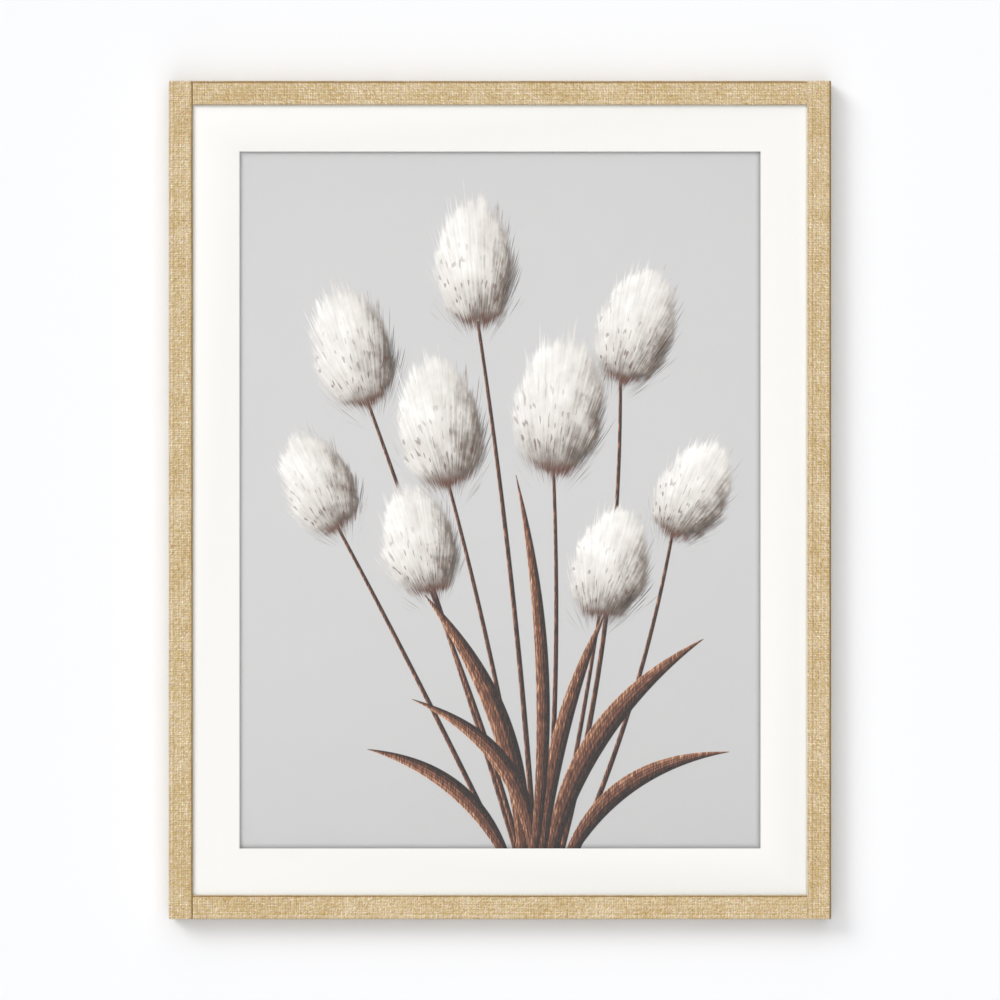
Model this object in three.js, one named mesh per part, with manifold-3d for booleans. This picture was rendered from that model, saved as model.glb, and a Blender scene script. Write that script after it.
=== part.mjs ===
// A framed and matted print that hangs on a wall, in millimetres.
// X runs to the right, Y from the viewer to the wall, and Z up. The wall is the plane y = 0, and the
// origin is the point where the wall's nail carries the toothed hanger.
// Sizes are whole eighths, which 32-bit numbers hold exactly, so faces that touch share coordinates.

import * as THREE from 'three';
import { ConvexGeometry } from 'three/addons/geometries/ConvexGeometry.js';
import { mergeVertices } from 'three/addons/utils/BufferGeometryUtils.js';
import Module from 'manifold-3d';

// The print, the mat and the moulding set the size of the whole picture.
const PRINT_WIDTH = 457.25; // an 18 in sheet
const PRINT_HEIGHT = 609.5; // by 24 in
const MAT_OVERLAP = 3.25; // print hidden under the mat, on each side
const MAT_BORDER = 40.25; // mat seen between its window and the moulding
const FACE_WIDTH = 20.75; // moulding seen from the front
const RABBET_WIDTH = 6.5; // moulding's step over the stack
const STACK_CLEARANCE = 0.75; // room round the stack in its rabbet

// Depths, from the wall to the front.
const BUMPER_HEIGHT = 2.5;
const TIMBER_DEPTH = 19;
const LINEN = 0.5;
const LIP_DEPTH = 1.75; // moulding in front of the glazing, linen and all
const GLAZING_DEPTH = 1;
const AIR_GAP = 0.25; // between the glazing and the mat
const MAT_DEPTH = 3;
const PRINT_DEPTH = 0.5;
const MOUNT_BOARD_DEPTH = 5;
const BACKING_DEPTH = 3;

// The linen covers the front, the outer sides and most of the back.
const TURN_OVER = 12.25;

// Two dowels hold each corner.
const DOWEL_DIAMETER = 6;
const DOWEL_BORE = 6.75;
const DOWEL_IN_STILE = 13;
const DOWEL_IN_RAIL = 15;
const DOWEL_SPACING = 9;
const DOWEL_CHAMFER = 0.75;
const GLUE_ROOM = 1;

// Flat steel points in the rabbet walls hold the stack.
const POINT_DEPTH = 0.75;
const POINT_WIDTH = 6;
const POINT_REACH = 12; // over the backing board
const POINT_SUNK = 5; // into the timber
const POINT_CORNER = 1.5;
const SLOT_PLAY = 0.25;
const STILE_POINTS = [-210, 0, 210];
const RAIL_POINTS = [-130, 130];

// The hanger is a strip with teeth below, joggled away from the timber between its two nails.
const HANGER_LENGTH = 60;
const HANGER_HEIGHT = 11;
const HANGER_SHEET = 0.75;
const HANGER_BRIDGE = 1.25; // gap behind the toothed stretch
const HANGER_TOP_MARGIN = 0.75; // below the picture's top edge
const HANGER_CORNER = 1.5;
const TOOTH_COUNT = 11;
const TOOTH_PITCH = 3;
const TOOTH_DEPTH = 1.25;
const BRIDGE_HALF = 18.5;
const BRIDGE_RAMP = 2.5;
const NAIL_OFFSET = 26; // from the hanger's middle
const NAIL_DIAMETER = 1.5;
const NAIL_BORE = 2.25;
const NAIL_LENGTH = 10;
const NAIL_TIP = 1.5;
const NAIL_HEAD_DIAMETER = 4;
const NAIL_HEAD_DEPTH = 0.75;

const BUMPER_DIAMETER = 10;
const BUMPER_CHAMFER = 0.75;
const BUMPER_INSET = 6.25; // from the picture's side and bottom edges

const ROUND_SIDES = 16;
const BUMPER_SIDES = 32;
const OVERCUT = 2; // how far a cutter passes the face that it opens

// Half sizes of the outlines, seen from the front.
const windowHalf = { x: PRINT_WIDTH / 2 - MAT_OVERLAP, z: PRINT_HEIGHT / 2 - MAT_OVERLAP };
const sightHalf = { x: windowHalf.x + MAT_BORDER, z: windowHalf.z + MAT_BORDER };
const outerHalf = { x: sightHalf.x + FACE_WIDTH, z: sightHalf.z + FACE_WIDTH };
const pocketHalf = { x: sightHalf.x + RABBET_WIDTH, z: sightHalf.z + RABBET_WIDTH };
const stackHalf = { x: pocketHalf.x - STACK_CLEARANCE, z: pocketHalf.z - STACK_CLEARANCE };
const revealHalf = { x: outerHalf.x - TURN_OVER, z: outerHalf.z - TURN_OVER };

// Planes across the depth.
const backPlane = -BUMPER_HEIGHT;
const frontPlane = backPlane - TIMBER_DEPTH - 2 * LINEN;
const glazingPlane = frontPlane + LIP_DEPTH;
const matPlane = glazingPlane + GLAZING_DEPTH + AIR_GAP;
const printPlane = matPlane + MAT_DEPTH;
const mountBoardPlane = printPlane + PRINT_DEPTH;
const backingPlane = mountBoardPlane + MOUNT_BOARD_DEPTH;
const pointPlane = backingPlane + BACKING_DEPTH;
const middlePlane = (frontPlane + backPlane) / 2;

// The nail carries the hanger in the notch between its middle teeth.
const hangerTop = outerHalf.z - HANGER_TOP_MARGIN;
const hangingHeight = hangerTop - HANGER_HEIGHT + TOOTH_DEPTH;

const finishes = {
  linen: { color: 0xd2bb94, roughness: 0.9, metalness: 0 },
  pine: { color: 0xd9bd8c, roughness: 0.75, metalness: 0 },
  beech: { color: 0xcfa576, roughness: 0.7, metalness: 0 },
  glazing: { color: 0xf2f6f5, roughness: 0.03, metalness: 0, transparent: true, opacity: 0.2 },
  mat: { color: 0xfaf9f5, roughness: 0.95, metalness: 0 },
  print: { color: 0xd7d5d2, roughness: 0.85, metalness: 0 },
  foam: { color: 0xf1efe9, roughness: 0.9, metalness: 0 },
  hardboard: { color: 0x9b774d, roughness: 0.85, metalness: 0 },
  steel: { color: 0xb4b5b3, roughness: 0.4, metalness: 1 },
  brass: { color: 0xc2a35e, roughness: 0.35, metalness: 1 },
  rubber: { color: 0x3c3c3a, roughness: 0.8, metalness: 0 },
};

const wasm = await Module();
wasm.setup();

/** A box geometry between two corners. */
function blockGeometry(low, high) {
  const size = high.map((value, axis) => value - low[axis]);
  const centre = high.map((value, axis) => (value + low[axis]) / 2);
  return new THREE.BoxGeometry(...size).translate(...centre);
}

/** The closed solid of a geometry, ready to be joined or cut. */
function solidOf(geometry) {
  const bare = geometry.clone();
  bare.deleteAttribute('normal');
  bare.deleteAttribute('uv');
  const welded = mergeVertices(bare);
  return new wasm.Manifold(new wasm.Mesh({
    numProp: 3,
    vertProperties: welded.attributes.position.array,
    triVerts: Uint32Array.from(welded.index.array),
  }));
}

/** A box solid between two corners. */
function block(low, high) {
  return solidOf(blockGeometry(low, high));
}

/** The geometry of a solid. */
function geometryOf(solid) {
  const { vertProperties, triVerts } = solid.getMesh();
  const geometry = new THREE.BufferGeometry();
  geometry.setAttribute('position', new THREE.BufferAttribute(vertProperties, 3));
  geometry.setIndex(new THREE.BufferAttribute(triVerts, 1));
  geometry.computeVertexNormals();
  return geometry;
}

/** A solid with others taken out of it. */
function cut(solid, cutters) {
  return cutters.reduce((left, cutter) => left.subtract(cutter), solid);
}

/** A named mesh with a finish of its own. */
function piece(name, geometry, finish) {
  const mesh = new THREE.Mesh(geometry, new THREE.MeshStandardMaterial(finishes[finish]));
  mesh.name = name;
  return mesh;
}

/** A turned shape along Y from a profile of [radius, y] pairs that starts and ends on the axis. */
function turned(profile, sides) {
  const points = profile.map(([radius, y]) => new THREE.Vector2(radius, y));
  return new THREE.LatheGeometry(points, sides);
}

/** The room of the stack, open at the back. */
function pocket() {
  return block(
    [-pocketHalf.x, glazingPlane, -pocketHalf.z],
    [pocketHalf.x, backPlane + OVERCUT, pocketHalf.z],
  );
}

/** The stretch of the back that the linen leaves bare. */
function reveal() {
  return block(
    [-revealHalf.x, backPlane - LINEN, -revealHalf.z],
    [revealHalf.x, backPlane + OVERCUT, revealHalf.z],
  );
}

/** Where each dowel lies: its name and the middle of the joint that it crosses. */
function dowelPlaces() {
  const places = [];
  for (const [level, up] of [['top', 1], ['bottom', -1]]) {
    for (const [side, across] of [['left', -1], ['right', 1]]) {
      for (const [layer, inward] of [['front', -1], ['back', 1]]) {
        places.push({
          name: `dowel_${level}_${side}_${layer}`,
          across,
          x: across * sightHalf.x,
          y: middlePlane + inward * DOWEL_SPACING / 2,
          z: up * (pocketHalf.z + outerHalf.z) / 2,
        });
      }
    }
  }
  return places;
}

/** A round bar along X whose ends reach given lengths into the stile and the rail. */
function dowelShape(diameter, inStile, inRail, chamfer) {
  const radius = diameter / 2;
  const profile = [
    [0, -inStile],
    [radius - chamfer, -inStile],
    [radius, chamfer - inStile],
    [radius, inRail - chamfer],
    [radius - chamfer, inRail],
    [0, inRail],
  ];
  return turned(profile, ROUND_SIDES).rotateZ(-Math.PI / 2);
}

/** The dowels, each turned so that its longer end is in the rail. */
function dowels() {
  return dowelPlaces().map((place) => {
    const shape = dowelShape(DOWEL_DIAMETER, DOWEL_IN_STILE, DOWEL_IN_RAIL, DOWEL_CHAMFER);
    const dowel = piece(place.name, shape, 'beech');
    dowel.position.set(place.x, place.y, place.z);
    dowel.rotation.z = place.across > 0 ? Math.PI : 0;
    return dowel;
  });
}

/** The bores that the dowels are glued into. */
function dowelBores() {
  const inStile = DOWEL_IN_STILE + GLUE_ROOM;
  const inRail = DOWEL_IN_RAIL + GLUE_ROOM;
  return dowelPlaces().map((place) => {
    const shape = dowelShape(DOWEL_BORE, inStile, inRail, DOWEL_CHAMFER);
    shape.rotateZ(place.across > 0 ? Math.PI : 0);
    return solidOf(shape.translate(place.x, place.y, place.z));
  });
}

/** Where each steel point is: its side's turn about Y, and its place along that side once turned. */
function pointPlaces() {
  const sides = [
    ['left', 0, pocketHalf.x, STILE_POINTS, 1],
    ['right', Math.PI, pocketHalf.x, STILE_POINTS, -1],
    ['top', Math.PI / 2, pocketHalf.z, RAIL_POINTS, 1],
    ['bottom', -Math.PI / 2, pocketHalf.z, RAIL_POINTS, -1],
  ];
  return sides.flatMap(([side, turn, wall, places, sign]) => places.map((place, index) => ({
    name: `point_${side}_${index + 1}`,
    turn,
    wall,
    along: sign * place,
  })));
}

/** A group about the picture's middle, turned to the side that a point is on. */
function pointGroup(place) {
  const group = new THREE.Group();
  group.rotation.y = place.turn;
  return group;
}

/** The steel points: a clipped tab over the backing board and a tip in the timber. */
function points() {
  const half = POINT_WIDTH / 2;
  const outline = new THREE.Shape([
    new THREE.Vector2(-POINT_SUNK, 0),
    new THREE.Vector2(-half, -half),
    new THREE.Vector2(POINT_REACH - POINT_CORNER, -half),
    new THREE.Vector2(POINT_REACH, POINT_CORNER - half),
    new THREE.Vector2(POINT_REACH, half - POINT_CORNER),
    new THREE.Vector2(POINT_REACH - POINT_CORNER, half),
    new THREE.Vector2(-half, half),
  ]);
  return pointPlaces().map((place) => {
    const tab = new THREE.ExtrudeGeometry(outline, { depth: POINT_DEPTH, bevelEnabled: false });
    const mesh = piece(place.name, tab.rotateX(-Math.PI / 2), 'steel');
    mesh.position.set(-place.wall, pointPlane, place.along);
    return pointGroup(place).add(mesh);
  });
}

/** The slots that the points are driven into. */
function pointSlots() {
  const half = POINT_WIDTH / 2 + SLOT_PLAY;
  return pointPlaces().map((place) => {
    const slot = blockGeometry(
      [-place.wall - POINT_SUNK - SLOT_PLAY, pointPlane - SLOT_PLAY, place.along - half],
      [OVERCUT - place.wall, pointPlane + POINT_DEPTH + SLOT_PLAY, place.along + half],
    );
    return solidOf(slot.rotateY(place.turn));
  });
}

/** Where the hanger's nails are. */
function nailPlaces() {
  const z = hangerTop - HANGER_HEIGHT / 2;
  return [['nail_left', -NAIL_OFFSET, z], ['nail_right', NAIL_OFFSET, z]];
}

/** The nail's shape along Y: its head is at the wall's side and its tip in the timber. */
function nailShape() {
  const shank = NAIL_DIAMETER / 2;
  const head = NAIL_HEAD_DIAMETER / 2;
  return turned([
    [0, -NAIL_LENGTH],
    [shank, NAIL_TIP - NAIL_LENGTH],
    [shank, 0],
    [head, 0],
    [head, NAIL_HEAD_DEPTH / 2],
    [head - NAIL_HEAD_DEPTH / 2, NAIL_HEAD_DEPTH],
    [0, NAIL_HEAD_DEPTH],
  ], ROUND_SIDES);
}

/** The nails that hold the hanger. */
function nails() {
  return nailPlaces().map(([name, x, z]) => {
    const nail = piece(name, nailShape(), 'brass');
    nail.position.set(x, backPlane + HANGER_SHEET, z);
    return nail;
  });
}

/** The holes for the nails, through the hanger, the linen and part of the timber. */
function nailBores() {
  const depth = NAIL_LENGTH + GLUE_ROOM;
  return nailPlaces().map(([, x, z]) => {
    const bore = new THREE.CylinderGeometry(NAIL_BORE / 2, NAIL_BORE / 2, depth + OVERCUT, ROUND_SIDES);
    return solidOf(bore.translate(x, backPlane + HANGER_SHEET + (OVERCUT - depth) / 2, z));
  });
}

/** The hanger's outline from behind, with its teeth below. */
function hangerOutline() {
  const half = HANGER_LENGTH / 2;
  const bottom = hangerTop - HANGER_HEIGHT;
  const toothed = TOOTH_COUNT * TOOTH_PITCH / 2;
  const outline = [[-half, bottom + HANGER_CORNER], [HANGER_CORNER - half, bottom]];
  for (let tooth = 0; tooth < TOOTH_COUNT; tooth += 1) {
    const start = tooth * TOOTH_PITCH - toothed;
    outline.push([start, bottom], [start + TOOTH_PITCH / 2, bottom + TOOTH_DEPTH]);
  }
  outline.push(
    [toothed, bottom],
    [half - HANGER_CORNER, bottom],
    [half, bottom + HANGER_CORNER],
    [half, hangerTop - HANGER_CORNER],
    [half - HANGER_CORNER, hangerTop],
    [HANGER_CORNER - half, hangerTop],
    [-half, hangerTop - HANGER_CORNER],
  );
  return new THREE.Shape(outline.map(([x, z]) => new THREE.Vector2(x, z)));
}

/** The hanger's strip from above: flat at its ends and joggled out between them. */
function hangerStrip() {
  const half = HANGER_LENGTH / 2 + OVERCUT;
  const ramp = BRIDGE_HALF + BRIDGE_RAMP;
  const inner = [
    [-half, 0],
    [-ramp, 0],
    [-BRIDGE_HALF, HANGER_BRIDGE],
    [BRIDGE_HALF, HANGER_BRIDGE],
    [ramp, 0],
    [half, 0],
  ];
  const outer = inner.map(([x, y]) => [x, y + HANGER_SHEET]).reverse();
  return new THREE.Shape([...inner, ...outer].map(([x, y]) => new THREE.Vector2(x, y)));
}

/** The toothed hanger on the top rail's back. */
function hanger() {
  const reach = HANGER_HEIGHT + 2 * OVERCUT;
  const strip = new THREE.ExtrudeGeometry(hangerStrip(), { depth: reach, bevelEnabled: false });
  strip.translate(0, backPlane, hangerTop + OVERCUT - reach);
  const deep = BUMPER_HEIGHT + 2 * OVERCUT;
  const front = new THREE.ExtrudeGeometry(hangerOutline(), { depth: deep, bevelEnabled: false });
  front.rotateX(Math.PI / 2).translate(0, backPlane + deep - OVERCUT, 0);
  const plate = solidOf(strip).intersect(solidOf(front));
  return piece('hanger_plate', geometryOf(cut(plate, nailBores())), 'steel');
}

/** The timber and the linen of each side of the moulding. */
function moulding() {
  const opened = [pocket(), ...dowelBores(), ...nailBores()];
  const slots = pointSlots();
  const bare = reveal();
  const { x: outX, z: outZ } = outerHalf;
  const sides = [
    ['stile_left', 'wrap_left', [-outX, -outZ], [-sightHalf.x, outZ], LINEN],
    ['stile_right', 'wrap_right', [sightHalf.x, -outZ], [outX, outZ], LINEN],
    ['rail_top', 'wrap_top', [-sightHalf.x, sightHalf.z], [sightHalf.x, outZ], 0],
    ['rail_bottom', 'wrap_bottom', [-sightHalf.x, -outZ], [sightHalf.x, -sightHalf.z], 0],
  ];
  return sides.flatMap(([timberName, wrapName, [x0, z0], [x1, z1], endCover]) => {
    const whole = block([x0, frontPlane, z0], [x1, backPlane, z1]);
    const cored = (past) => block(
      [x0 + endCover - past, frontPlane + LINEN, z0 + LINEN],
      [x1 - endCover + past, backPlane - LINEN, z1 - LINEN],
    );
    const timber = cut(cored(0), [...opened, ...slots]);
    const wrap = cut(whole, [cored(endCover ? 0 : OVERCUT), bare, ...opened]);
    return [
      piece(timberName, geometryOf(timber), 'pine'),
      piece(wrapName, geometryOf(wrap), 'linen'),
    ];
  });
}

/** A flat sheet of the stack, from its front plane. */
function sheet(name, half, plane, depth, finish) {
  const mesh = piece(name, new THREE.BoxGeometry(2 * half.x, depth, 2 * half.z), finish);
  mesh.position.y = plane + depth / 2;
  return mesh;
}

/** The window mat, its opening cut with a bevel that widens to the back. */
function mat() {
  const board = block(
    [-stackHalf.x, matPlane, -stackHalf.z],
    [stackHalf.x, matPlane + MAT_DEPTH, stackHalf.z],
  );
  const corners = [];
  for (const depth of [-OVERCUT, MAT_DEPTH + OVERCUT]) {
    for (const [x, z] of [[-1, -1], [1, -1], [1, 1], [-1, 1]]) {
      const y = matPlane + depth;
      corners.push(new THREE.Vector3(x * (windowHalf.x + depth), y, z * (windowHalf.z + depth)));
    }
  }
  const opening = solidOf(new ConvexGeometry(corners));
  return piece('mat_board', geometryOf(board.subtract(opening)), 'mat');
}

/** The rubber bumpers at the lower corners of the back. */
function bumpers() {
  const radius = BUMPER_DIAMETER / 2;
  const profile = [
    [0, 0],
    [radius, 0],
    [radius, BUMPER_HEIGHT - BUMPER_CHAMFER],
    [radius - BUMPER_CHAMFER, BUMPER_HEIGHT],
    [0, BUMPER_HEIGHT],
  ];
  return [['bumper_left', -1], ['bumper_right', 1]].map(([name, across]) => {
    const bumper = piece(name, turned(profile, BUMPER_SIDES), 'rubber');
    bumper.position.set(across * (outerHalf.x - BUMPER_INSET), backPlane, BUMPER_INSET - outerHalf.z);
    return bumper;
  });
}

const printHalf = { x: PRINT_WIDTH / 2, z: PRINT_HEIGHT / 2 };
const picture = new THREE.Group();
picture.add(
  ...moulding(),
  ...dowels(),
  sheet('glazing', stackHalf, glazingPlane, GLAZING_DEPTH, 'glazing'),
  mat(),
  sheet('print_sheet', printHalf, printPlane, PRINT_DEPTH, 'print'),
  sheet('mount_board', stackHalf, mountBoardPlane, MOUNT_BOARD_DEPTH, 'foam'),
  sheet('backing_board', stackHalf, backingPlane, BACKING_DEPTH, 'hardboard'),
  ...points(),
  hanger(),
  ...nails(),
  ...bumpers(),
);
picture.position.z = -hangingHeight;

const group = new THREE.Group();
group.add(picture);

export default group;
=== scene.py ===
"""The looks of a framed and matted print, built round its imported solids, in metres.

X runs to the viewer's right, Y from the viewer into the wall, and Z up. The moulding is covered in
coarse linen, which is made here as cloth with its own threads. The sheet behind the window carries a
plain botanical design of dried grass heads. A wall and a floor stand behind and below the picture.
"""

import logging
import math
from dataclasses import dataclass, field
from enum import Enum
from typing import Callable, Sequence

import bpy
import numpy as np
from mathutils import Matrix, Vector


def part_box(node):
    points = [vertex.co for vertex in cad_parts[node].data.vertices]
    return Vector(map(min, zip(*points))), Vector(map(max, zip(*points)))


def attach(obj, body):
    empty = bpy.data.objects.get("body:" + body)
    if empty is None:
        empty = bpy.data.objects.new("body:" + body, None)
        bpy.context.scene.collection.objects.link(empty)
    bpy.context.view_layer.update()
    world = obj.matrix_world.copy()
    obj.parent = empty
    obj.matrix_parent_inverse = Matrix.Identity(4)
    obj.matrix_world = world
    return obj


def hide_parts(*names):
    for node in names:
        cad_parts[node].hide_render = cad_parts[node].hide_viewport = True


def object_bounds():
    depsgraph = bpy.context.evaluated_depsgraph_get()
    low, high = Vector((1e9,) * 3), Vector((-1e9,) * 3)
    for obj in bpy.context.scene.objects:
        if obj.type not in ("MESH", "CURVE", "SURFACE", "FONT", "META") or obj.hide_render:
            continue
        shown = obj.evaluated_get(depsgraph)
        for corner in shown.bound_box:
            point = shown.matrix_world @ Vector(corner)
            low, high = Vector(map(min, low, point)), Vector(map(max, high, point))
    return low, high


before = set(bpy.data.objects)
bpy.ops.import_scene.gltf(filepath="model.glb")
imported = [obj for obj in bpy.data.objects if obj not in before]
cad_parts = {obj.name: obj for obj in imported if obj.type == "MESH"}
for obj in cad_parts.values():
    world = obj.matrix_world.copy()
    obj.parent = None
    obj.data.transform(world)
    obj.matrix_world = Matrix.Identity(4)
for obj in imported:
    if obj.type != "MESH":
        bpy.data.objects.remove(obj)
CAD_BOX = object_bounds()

LOG = logging.getLogger("picture")
MM = 0.001
BODY = "root"
FACING = 0.9  # a face looks along an axis if more of its normal than this lies along it

Colour = tuple[float, float, float]
Socket = bpy.types.NodeSocket
Tree = bpy.types.NodeTree
Piece = bpy.types.Object


def srgb(red: int, green: int, blue: int) -> Colour:
    """A scene-linear colour from a display colour.

    Args:
        red: its red, from 0 to 255.
        green: its green.
        blue: its blue.

    Returns:
        The linear colour.
    """

    def linear(value: int) -> float:
        """One channel without its display curve."""
        share = value / 255
        return share / 12.92 if share <= 0.04045 else ((share + 0.055) / 1.055) ** 2.4

    return linear(red), linear(green), linear(blue)


class Member(Enum):
    """A side of the moulding."""

    LEFT = "left"
    RIGHT = "right"
    TOP = "top"
    BOTTOM = "bottom"

    @property
    def upright(self) -> bool:
        """True for the two stiles."""
        return self in (Member.LEFT, Member.RIGHT)

    @property
    def outward(self) -> int:
        """The sign of the axis that runs from the sight edge to the outer edge."""
        return 1 if self in (Member.RIGHT, Member.TOP) else -1


class Grain(Enum):
    """The way that a timber's grain runs, as how far its pattern is squeezed along X, Y and Z."""

    UPRIGHT = (1.0, 1.0, 0.05)
    LEVEL = (0.05, 1.0, 1.0)


class Mixed(Enum):
    """What a Mix node mixes, as its data type, its first input and its output."""

    VALUES = ("FLOAT", 2, 0)
    VECTORS = ("VECTOR", 4, 1)
    COLOURS = ("RGBA", 6, 2)


# ---- shader wiring


class Wiring:
    """Places the nodes of one shader tree and links them."""

    def __init__(self, tree: Tree) -> None:
        """Starts on a tree.

        Args:
            tree: a material's, a world's or a group's tree.
        """
        self.tree = tree

    def add(self, kind: str, **settings: object) -> bpy.types.Node:
        """Adds a node.

        Args:
            kind: the node's type name.
            settings: properties of the node.

        Returns:
            The node.
        """
        node = self.tree.nodes.new(kind)
        for name, value in settings.items():
            setattr(node, name, value)
        return node

    def feed(self, socket: Socket, value: object) -> None:
        """Links a socket's source, or sets its own value.

        Args:
            socket: the input.
            value: an output socket, or a number, colour or vector.
        """
        if isinstance(value, Socket):
            self.tree.links.new(value, socket)
        elif isinstance(value, tuple) and len(value) == 3 and len(socket.default_value) == 4:
            socket.default_value = (*value, 1.0)
        else:
            socket.default_value = value

    def math(self, operation: str, *values: object) -> Socket:
        """A Math node.

        Args:
            operation: what it works out.
            values: up to three values.

        Returns:
            The result.
        """
        node = self.add("ShaderNodeMath", operation=operation)
        for socket, value in zip(node.inputs, values):
            self.feed(socket, value)
        return node.outputs[0]

    def times(self, first: object, second: object) -> Socket:
        """The product of two values."""
        return self.math("MULTIPLY", first, second)

    def total(self, *terms: tuple[object, object], base: object = 0.0) -> Socket:
        """The sum of several values, each times its own weight.

        Args:
            terms: each value with its weight.
            base: what is added to them.

        Returns:
            The sum.
        """
        so_far = base
        for value, weight in terms:
            so_far = self.math("MULTIPLY_ADD", value, weight, so_far)
        return so_far

    def vector(self, operation: str, *values: object) -> Socket:
        """A Vector Math node.

        Args:
            operation: what it works out.
            values: one or two vectors.

        Returns:
            Its vector, or its number where it gives one.
        """
        node = self.add("ShaderNodeVectorMath", operation=operation)
        for socket, value in zip(node.inputs, values):
            self.feed(socket, value)
        return node.outputs["Value" if operation == "LENGTH" else "Vector"]

    def joined(self, x: object = 0.0, y: object = 0.0, z: object = 0.0) -> Socket:
        """A vector from three values.

        Args:
            x: its X.
            y: its Y.
            z: its Z.

        Returns:
            The vector.
        """
        node = self.add("ShaderNodeCombineXYZ")
        for socket, value in zip(node.inputs, (x, y, z)):
            self.feed(socket, value)
        return node.outputs[0]

    def parts(self, vector: object) -> tuple[Socket, Socket, Socket]:
        """The three values of a vector.

        Args:
            vector: the vector.

        Returns:
            Its X, Y and Z.
        """
        node = self.add("ShaderNodeSeparateXYZ")
        self.feed(node.inputs[0], vector)
        return tuple(node.outputs)

    def noise(
        self, where: object, scale: float, detail: float = 2.0, rough: float = 0.5, flat: bool = False
    ) -> Socket:
        """A noise from 0 to 1.

        Args:
            where: the position that it follows.
            scale: its repeats in one unit of that position.
            detail: how many finer layers it has.
            rough: how strong those are.
            flat: True if only the position's first two values count.

        Returns:
            The noise's value.
        """
        node = self.add("ShaderNodeTexNoise", noise_dimensions="2D" if flat else "3D")
        self.feed(node.inputs["Vector"], where)
        self.feed(node.inputs["Scale"], scale)
        self.feed(node.inputs["Detail"], detail)
        self.feed(node.inputs["Roughness"], rough)
        return node.outputs["Fac"]

    def chance(self, cell: object) -> Socket:
        """A value from 0 to 1 that is drawn anew for each pair of whole numbers.

        Args:
            cell: the pair, as a vector.

        Returns:
            The value.
        """
        node = self.add("ShaderNodeTexWhiteNoise", noise_dimensions="2D")
        self.feed(node.inputs["Vector"], cell)
        return node.outputs["Value"]

    def spread(
        self, value: object, low: float, high: float, to: tuple[float, float] = (0.0, 1.0),
        smooth: bool = False,
    ) -> Socket:
        """A value taken from the range low to high into another, and held inside it.

        Args:
            value: the value.
            low: where the first range starts.
            high: where it ends.
            to: the second range.
            smooth: True for soft ends.

        Returns:
            The new value.
        """
        kind = "SMOOTHSTEP" if smooth else "LINEAR"
        node = self.add("ShaderNodeMapRange", interpolation_type=kind, clamp=True)
        for name, number in zip(("Value", "From Min", "From Max", "To Min", "To Max"),
                                (value, low, high, *to)):
            self.feed(node.inputs[name], number)
        return node.outputs[0]

    def mix(
        self, share: object, first: object, second: object, what: Mixed = Mixed.COLOURS
    ) -> Socket:
        """A mix of two colours, or of two values or vectors.

        Args:
            share: how much of the second there is, from 0 to 1.
            first: what there is at 0.
            second: what there is at 1.
            what: what is mixed.

        Returns:
            The mix.
        """
        kind, place, result = what.value
        node = self.add("ShaderNodeMix", data_type=kind, clamp_factor=True)
        for socket, value in ((0, share), (place, first), (place + 1, second)):
            self.feed(node.inputs[socket], value)
        return node.outputs[result]

    def between(self, share: object, first: object, second: object) -> Socket:
        """A mix of two values."""
        return self.mix(share, first, second, Mixed.VALUES)

    def choose(self, share: object, first: object, second: object) -> Socket:
        """A mix of two vectors."""
        return self.mix(share, first, second, Mixed.VECTORS)

    def ramp(self, value: object, stops: Sequence[tuple[float, Colour]]) -> Socket:
        """A colour along a ramp.

        Args:
            value: the place along it, from 0 to 1.
            stops: each stop's place and colour, in order.

        Returns:
            The colour.
        """
        node = self.add("ShaderNodeValToRGB")
        points = node.color_ramp.elements
        while len(points) < len(stops):
            points.new(0.5)
        for point, (place, colour) in zip(points, stops):
            point.position = place
            point.color = (*colour, 1.0)
        self.feed(node.inputs[0], value)
        return node.outputs[0]

    def use(self, group: Tree, **values: object) -> bpy.types.Node:
        """Places a node group.

        Args:
            group: the group's tree.
            values: its inputs, with _ for a space in a name.

        Returns:
            The group's node.
        """
        node = self.add("ShaderNodeGroup", node_tree=group)
        for name, value in values.items():
            self.feed(node.inputs[name.replace("_", " ")], value)
        return node

    def bump(self, height: object, reach: float, strength: float = 1.0) -> Socket:
        """The normal of a relief.

        Args:
            height: the relief, from 0 to 1.
            reach: how high 1 stands, in metres.
            strength: how much of it shows.

        Returns:
            The normal.
        """
        node = self.add("ShaderNodeBump")
        self.feed(node.inputs["Strength"], strength)
        self.feed(node.inputs["Distance"], reach)
        self.feed(node.inputs["Height"], height)
        return node.outputs[0]


class Group:
    """A shader group while it is being built."""

    FLOAT, VECTOR = "NodeSocketFloat", "NodeSocketVector"

    def __init__(self, name: str, inputs: dict[str, str], outputs: list[str]) -> None:
        """Makes the group's tree with its named sockets.

        Args:
            name: the group's name.
            inputs: each input's name and kind.
            outputs: the names of its outputs, which are all plain values.
        """
        self.tree = bpy.data.node_groups.new(name, "ShaderNodeTree")
        for label, kind in inputs.items():
            self.tree.interface.new_socket(name=label, in_out="INPUT", socket_type=kind)
        for label in outputs:
            self.tree.interface.new_socket(name=label, in_out="OUTPUT", socket_type=self.FLOAT)
        self.wiring = Wiring(self.tree)
        self.given = self.wiring.add("NodeGroupInput").outputs
        self.result = self.wiring.add("NodeGroupOutput").inputs

    def giving(self, **values: Socket) -> Tree:
        """Feeds the group's outputs.

        Args:
            values: each output's value, by its name.

        Returns:
            The finished tree.
        """
        for label, value in values.items():
            self.wiring.feed(self.result[label], value)
        return self.tree


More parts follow.
